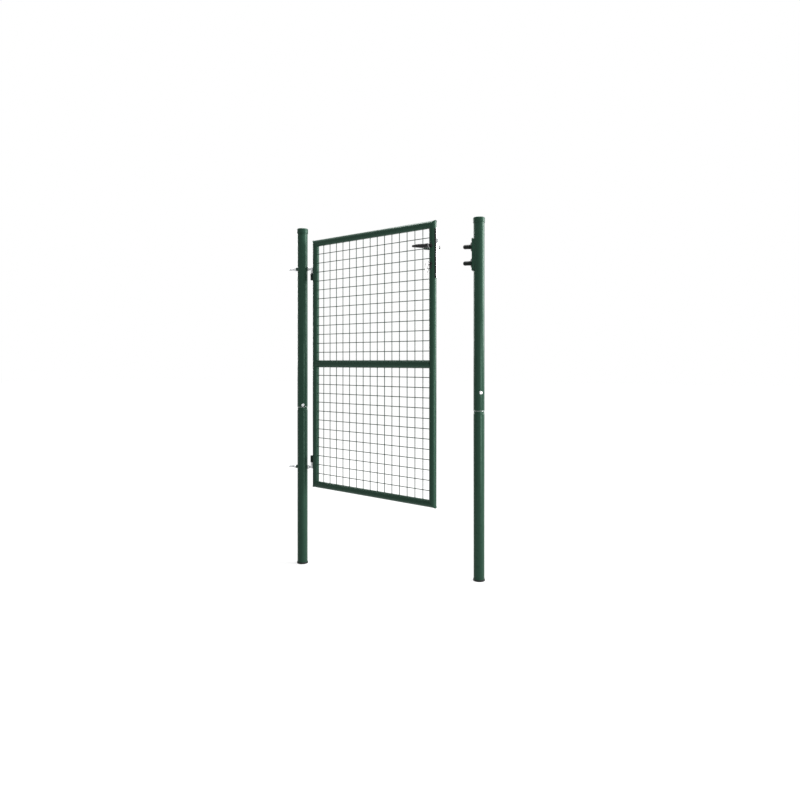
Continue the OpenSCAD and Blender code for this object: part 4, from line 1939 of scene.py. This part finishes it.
    def handles(self, shop: Workshop, z: float) -> None:
        """Makes the roses and levers on both faces, and keeps the spindle.

        Args:
            shop: The workshop.
            z: The spindle's height.
        """
        for side in Side:
            name = side.name.lower()
            rose = shop.box(f"{name}_rose", on_leaf=True)
            face = max(abs(rose.low.y), abs(rose.high.y))
            shell = self.rose(rose, face, z, side)
            shop.replace(f"{name}_rose", shell, Body.LEAF, Slot.NYLON)
            grip = shop.box(f"{name}_lever", on_leaf=True)
            lever = Lever()
            shell = lever.shell(grip, self.axis_x, z, face + 0.5 * MM, side)
            shop.replace(f"{name}_lever", shell, Body.HANDLE, Slot.NYLON, lever.crease)
        shop.keep("spindle", Slot.ZINC)

    def rose(self, box: Box, face: float, z: float, side: Side) -> Shell:
        """Makes a rose, coped to the round stile, with a stepped rim.

        Args:
            box: The CAD rose's box.
            face: Distance of its outer face from the leaf's middle plane.
            z: The spindle's height.
            side: The face of the leaf that it is on.

        Returns:
            The rose.
        """
        outer, bore, step = box.size.z / 2, self.rose_bore, self.rose_step

        def ring(radius: float, y: float | None = None) -> Ring:
            """Draws a ring round the spindle.

            Args:
                radius: Its radius.
                y: How far out it lies, or None for the stile's surface.

            Returns:
                The ring's points.
            """
            return [
                Vector((
                    self.axis_x + radius * math.cos(t),
                    side.value * (y or half_chord(self.tube, radius * math.cos(t))),
                    z + radius * math.sin(t),
                ))
                for t in turns(48)
            ]

        rings = [
            ring(outer), ring(outer, face - 2 * step), ring(outer - step * 0.4, face - step),
            ring(outer - step * 1.6, face - step * 0.9), ring(outer - step * 2, face - step * 0.1),
            ring(outer - step * 2.4, face), ring(bore, face), ring(bore),
        ]
        return Shell().skin(rings, closed=True)

    def keys(self, shop: Workshop, boxes: dict[str, Box]) -> None:
        """Makes the key in the cylinder, the ring and the spare key.

        Args:
            shop: The workshop.
            boxes: The CAD nodes' boxes, by name.
        """
        key, ring, spare = boxes["key"], boxes["key_ring"], boxes["spare_key"]
        at = (self.axis_x, key.low.y + self.bow, key.middle.z)
        shell = self.key_shape(key.high.y - key.low.y - 2 * self.bow, False, facing_x(*at))
        shop.replace("key", shell, Body.LEAF, Slot.BRIGHT)
        shop.replace("key_ring", self.split_ring(ring), Body.LEAF, Slot.BRIGHT)
        down = Matrix.Rotation(-math.pi / 2, 4, "Z")
        place = facing_x(self.axis_x, spare.middle.y, spare.high.z - self.bow) @ down
        shell = self.key_shape(spare.size.z - 2 * self.bow, True, place)
        shop.replace("spare_key", shell, Body.LEAF, Slot.BRIGHT)

    def key_shape(self, length: float, toothed: bool, place: Matrix) -> Shell:
        """Returns a key.

        Args:
            length: How far its blade stands out of the bow.
            toothed: Whether the blade shows its cuts and tip.
            place: Turns and moves it.

        Returns:
            The key, its bow's middle at the origin and its blade along +X.
        """
        half, end = self.shank / 2, self.bow + length
        collar, shoulder = half * 1.15, self.bow + 1.5 * MM
        meet = math.degrees(math.asin(collar / self.bow))
        outline = arc(0, 0, self.bow, meet, 360 - meet, steps=40)
        outline += [(shoulder, -collar), (shoulder, -half)]
        if toothed:
            step = (end - shoulder - 5 * MM) / len(self.cuts)
            flat = step * 0.22
            outline += [(end - 3 * MM, -half), (end, -half * 0.3), (end - 2 * MM, half * 0.7)]
            for k, cut in reversed(list(enumerate(self.cuts))):
                x, y = shoulder + 2 * MM + (k + 0.5) * step, half - cut * self.cut
                outline += [(x + flat, y), (x - flat, y)]
            outline.append((shoulder + MM, half))
        else:
            outline += [(end, -half), (end, half)]
        outline += [(shoulder, half), (shoulder, collar)]
        hole = arc(-self.hole_inset, 0, self.hole, 0, 345, steps=23)
        shell = Shell().plate([outline, hole], self.key, bevel=0.25 * MM, place=place)
        rib = rectangle(shoulder - 2 * MM, -half * 0.25, end - 3 * MM, half * 0.2)
        rib, thick = filleted(rib, 0.4 * MM, steps=2), self.key + self.rib
        return shell.plate([rib], thick, bevel=0.2 * MM, place=place)

    def split_ring(self, box: Box) -> Shell:
        """Makes the key ring: wire wound almost twice round.

        Args:
            box: The CAD ring's box.

        Returns:
            The ring.
        """
        radius, wire = box.size.z / 2 - self.ring_wire, self.ring_wire
        x, y, z = box.middle
        rings, steps, start = [], 110, 0.6
        for k in range(steps + 1):
            t = 2 * math.pi * self.ring_rounds * k / steps + start
            lay = (k / steps - 0.5) * 2 * wire
            rings.append([
                Vector((
                    x + (radius + wire * math.cos(a)) * math.cos(t),
                    y + lay + wire * math.sin(a),
                    z + (radius + wire * math.cos(a)) * math.sin(t),
                ))
                for a in turns(8)
            ])
        return Shell().skin(rings)


@dataclass
class Striker:
    """The striker on the latch post, with its two stop pins.

    Attributes:
        thickness: Thickness of the plate and its legs.
        round_corners: Corner radius of the plate.
        leg: Distance from the post's middle plane to the inner face of a leg.
        head: Height of a screw's head.
        shank: Radius of its shank.
        sleeve_groove: Depth of the grooves at a sleeve's base.
        grooves: Where they start.
        flange: Thickness of the disc behind a sleeve.
        nut_across: Width across flats of the nut behind a disc.
        bolt: Radius of a stop pin's bolt.
        pitch: Its thread's pitch.
        back_across: Width across flats of its nut behind the plate.
        back_height: Height of that nut.
        stand_off: Distance from the plate to a disc.
    """

    thickness: float = 4 * MM
    round_corners: float = 5 * MM
    leg: float = 17 * MM
    head: float = 5 * MM
    shank: float = 3 * MM
    sleeve_groove: float = 0.6 * MM
    grooves: tuple[float, ...] = (3 * MM, 6 * MM)
    flange: float = 3 * MM
    nut_across: float = 16 * MM
    bolt: float = 4 * MM
    pitch: float = 1.25 * MM
    back_across: float = 13 * MM
    back_height: float = 6.5 * MM
    stand_off: float = 10 * MM

    def build(self, shop: Workshop) -> None:
        """Makes the striker's pieces.

        Args:
            shop: The workshop.
        """
        plate = shop.box("striker_plate")
        self.face_x = plate.low.x
        shell = self.plate(plate, shop.box("latch_post_upper"))
        shop.replace("striker_plate", shell, Body.POSTS, Slot.GREEN)
        shell = self.screws(shop.box("striker_screws"))
        shop.replace("striker_screws", shell, Body.POSTS, Slot.GREEN)
        discs = Shell()
        for node in ("upper_stop_pin", "lower_stop_pin"):
            box = shop.box(node)
            shop.replace(node, self.stop_pin(shop, box), Body.POSTS, Slot.RUBBER)
            self.disc(discs, box, shop.box("stop_pin_flanges"))
        shop.replace("stop_pin_flanges", discs, Body.POSTS, Slot.GREEN)

    def plate(self, box: Box, post: Box) -> Shell:
        """Makes the plate on its two legs.

        Args:
            box: The CAD plate's box.
            post: The latch post's box.

        Returns:
            The plate.
        """
        half = box.size / 2
        outline = rectangle(-half.y, -half.z, half.y, half.z)
        outline = filleted(outline, self.round_corners, steps=6)
        middle = (self.face_x + self.thickness / 2, box.middle.y, box.middle.z)
        shell = Shell().plate(
            [outline], self.thickness, bevel=0.7 * MM, place=facing_x(*middle))
        radius, inner = post.size.x / 2, self.face_x + self.thickness / 2
        for near in (-self.leg - self.thickness, self.leg):
            far = near + self.thickness
            outline = [
                (inner, near), (post.middle.x - half_chord(radius, near) + MM, near),
                (post.middle.x - half_chord(radius, far) + MM, far), (inner, far),
            ]
            tall = box.size.z - 2 * self.round_corners
            place = Along.Z.at(0, 0, box.middle.z)
            shell.plate([outline], tall, bevel=0.5 * MM, place=place)
        return shell

    def screws(self, box: Box) -> Shell:
        """Makes the plate's two screws.

        Args:
            box: The CAD screws' box.

        Returns:
            The screws.
        """
        shell, radius = Shell(), box.size.y / 2
        for z in (box.low.z + radius, box.high.z - radius):
            place = Along.MINUS_X.at(self.face_x, 0, z)
            shell.screw_head(radius, self.head, Recess.HEXAGON, HEXAGON_KEY, place)
            place = Along.X.at(self.face_x, 0, z)
            shell.rod(self.shank, box.high.x - self.face_x, rounding=MM, place=place)
        return shell

    def stop_pin(self, shop: Workshop, box: Box) -> Shell:
        """Makes a rubber sleeve with a round end, on its bolt and nut.

        Args:
            shop: The workshop.
            box: The CAD pin's box.

        Returns:
            The stop pin.
        """
        y, z, radius = box.middle.y, box.middle.z, box.size.y / 2
        base = self.face_x - self.stand_off - self.flange
        length, groove = base - box.low.x, self.sleeve_groove
        profile = [(0.0, 0.0), (radius - 0.5 * MM, 0.0), (radius, 0.6 * MM)]
        for start in self.grooves:
            profile += [(radius, start), (radius - groove, start + 0.5 * MM),
                        (radius - groove, start + 1.1 * MM), (radius, start + 1.6 * MM)]
        waist = radius * 0.965
        profile.append((waist, length * 0.45))
        dome = arc(0, length - radius, radius, 8, 90, steps=12)
        profile += [(abs(r), h) for r, h in dome[:-1]] + [(0.0, length)]
        shell = Shell().lathe(profile, Along.MINUS_X.at(base, y, z), points=56)
        shop.thread(shell, self.bolt, box.high.x - base, self.pitch, Along.X.at(base, y, z))
        back = Along.X.at(self.face_x + self.thickness, y, z)
        return shell.nut(self.back_across, self.bolt, self.back_height, back)

    def disc(self, shell: Shell, pin: Box, box: Box) -> None:
        """Adds the disc and nut behind one stop pin to a shell.

        Args:
            shell: The shell.
            pin: The stop pin's box.
            box: The box of both discs.
        """
        y, z, radius = pin.middle.y, pin.middle.z, box.size.y / 2
        profile = [
            (self.bolt, 0), (radius, 0), (radius, self.flange * 0.6),
            (radius * 0.7, self.flange), (self.bolt, self.flange),
        ]
        place = Along.MINUS_X.at(box.low.x + self.flange, y, z)
        shell.lathe(filleted(profile, [0, 0.8 * MM, 0.8 * MM, 4 * MM, 0]), place)
        nut_x = box.low.x + self.flange
        shell.nut(self.nut_across, self.bolt, self.face_x - nut_x, Along.X.at(nut_x, y, z))


# ---- studio ----


@dataclass(frozen=True)
class Lamp:
    """A soft rectangular lamp.

    Attributes:
        name: Its name.
        place: Where it hangs.
        target: The point that it faces.
        size: Its width and height.
        power: Its power in watts.
    """

    name: str
    place: Triple
    target: Triple
    size: tuple[float, float]
    power: float

    def hang(self) -> None:
        """Adds the lamp to the scene."""
        data = bpy.data.lights.new(self.name, "AREA")
        data.shape, data.energy = "RECTANGLE", self.power
        data.size, data.size_y = self.size
        holder = shown(self.name, data)
        holder.location = self.place
        aim = Vector(self.target) - Vector(self.place)
        holder.rotation_euler = aim.to_track_quat("-Z", "Y").to_euler()
        holder.visible_camera = False


LAMPS = (
    Lamp("key_light", (3.6, 1.1, 2.3), (0.6, 0.0, 1.2), (2.0, 2.6), 250.0),
    Lamp("side_light", (3.9, -1.9, 0.6), (0.5, 0.0, 0.7), (1.2, 1.0), 75.0),
    Lamp("rim_light", (-2.8, 2.6, 2.0), (0.4, 0.0, 1.1), (1.6, 2.2), 70.0),
    Lamp("top_light", (0.5, 0.4, 4.2), (0.5, 0.0, 1.8), (3.0, 2.0), 225.0),
)


@dataclass
class Studio:
    """Camera, floor, world and lamps.

    Attributes:
        lens: The camera's focal length in millimetres.
        shift: Its vertical shift.
        eye: Where it stands.
        heading: How far it is turned to the left of +Y, in degrees.
        sight: How far it sees.
        fill: The world's strength for the object's light.
        floor_side: Side of the floor.
        floor_grey: How much of the lamps' light the floor gives back.
        near: Within this distance of the origin the floor glows least, to keep a shadow.
        far: From this distance on its glow is 1.
        glow: Its glow where it is least.
    """

    lens: float = 30.0
    shift: float = -0.04875
    eye: Triple = (1.6677, -3.4535, 1.1478)
    heading: float = 17.46
    sight: float = 200.0
    fill: float = 0.05
    floor_side: float = 60.0
    floor_grey: float = 0.25
    near: float = 1.5
    far: float = 5.0
    glow: float = 0.72

    def build(self) -> None:
        """Sets the studio up."""
        scene = bpy.context.scene
        scene.view_settings.view_transform = "Standard"
        self.camera(scene)
        self.world(scene)
        self.floor()
        for lamp in LAMPS:
            lamp.hang()

    def camera(self, scene: bpy.types.Scene) -> None:
        """Adds the camera and makes it the scene's.

        Args:
            scene: The scene.
        """
        data = bpy.data.cameras.new("camera")
        data.lens, data.shift_y, data.clip_end = self.lens, self.shift, self.sight
        holder = shown("camera", data)
        holder.location = self.eye
        holder.rotation_euler = (math.pi / 2, 0, math.radians(self.heading))
        scene.camera = holder

    def seen(self, wiring: Wiring) -> Socket:
        """Tells rays that see the background itself: camera, glossy, transmission.

        Args:
            wiring: The nodes of the world.

        Returns:
            1 for such rays, 0 for others.
        """
        path = wiring.add("ShaderNodeLightPath").outputs
        either = wiring.math("MAXIMUM", path["Is Camera Ray"], path["Is Glossy Ray"])
        return wiring.math("MAXIMUM", either, path["Is Transmission Ray"])

    def world(self, scene: bpy.types.Scene) -> None:
        """Adds a white background over a softer fill light.

        Args:
            scene: The scene.
        """
        scene.world = bpy.data.worlds.new("world")
        scene.world.use_nodes = True
        wiring = Wiring(scene.world.node_tree)
        light = scene.world.node_tree.nodes["Background"]
        light.inputs["Color"].default_value = (1.0, 1.0, 1.0, 1.0)
        strength = wiring.get("ShaderNodeMapRange", {
            "Value": self.seen(wiring), "To Min": self.fill, "To Max": 1.0})
        wiring.tree.links.new(strength, light.inputs["Strength"])

    def floor(self) -> None:
        """Adds the white floor, which keeps a faint shadow."""
        half = self.floor_side / 2
        mesh = bpy.data.meshes.new("floor")
        corners = [(-half, -half, 0), (half, -half, 0), (half, half, 0), (-half, half, 0)]
        mesh.from_pydata(corners, [], [(0, 1, 2, 3)])
        paint = bpy.data.materials.new("floor_white")
        paint.use_nodes = True
        wiring, tree = Wiring(paint.node_tree), paint.node_tree
        tree.nodes.remove(tree.nodes["Principled BSDF"])
        matt = wiring.get("ShaderNodeBsdfDiffuse", {"Color": (*[self.floor_grey] * 3, 1.0)})
        where = wiring.get("ShaderNodeTexCoord", output="Object")
        reach = wiring.get("ShaderNodeVectorMath", {0: where}, "Value", operation="LENGTH")
        strength = wiring.get("ShaderNodeMapRange", {
            "Value": reach, "From Min": self.near, "From Max": self.far,
            "To Min": self.glow, "To Max": 1.0})
        glow = wiring.get("ShaderNodeEmission", {
            "Color": (1.0, 1.0, 1.0, 1.0), "Strength": strength})
        both = wiring.get("ShaderNodeAddShader", {0: matt, 1: glow})
        tree.links.new(both, tree.nodes["Material Output"].inputs["Surface"])
        mesh.materials.append(paint)
        shown("floor", mesh)


def main() -> None:
    """Builds the gate's pieces round the CAD frame, and the studio round the gate."""
    logging.basicConfig(level=logging.INFO, format="%(message)s", stream=sys.stdout)
    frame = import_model()
    joints = {joint["name"]: joint for joint in frame["record"]["behaviour"]["joints"]}
    swing = joints["leaf_swing"]
    shop = Workshop(frame["nodes"], swing["pos_m"][0], math.radians(swing["range_deg"][1]))
    Studio().build()
    for side in ("hinge", "latch"):
        Post(side).build(shop)
    for level in Level:
        Hinge(level).build(shop)
    for assembly in (LeafTubes(), MeshPanels(), Lock(), Striker()):
        assembly.build(shop)


if __name__ == "__main__":
    main()
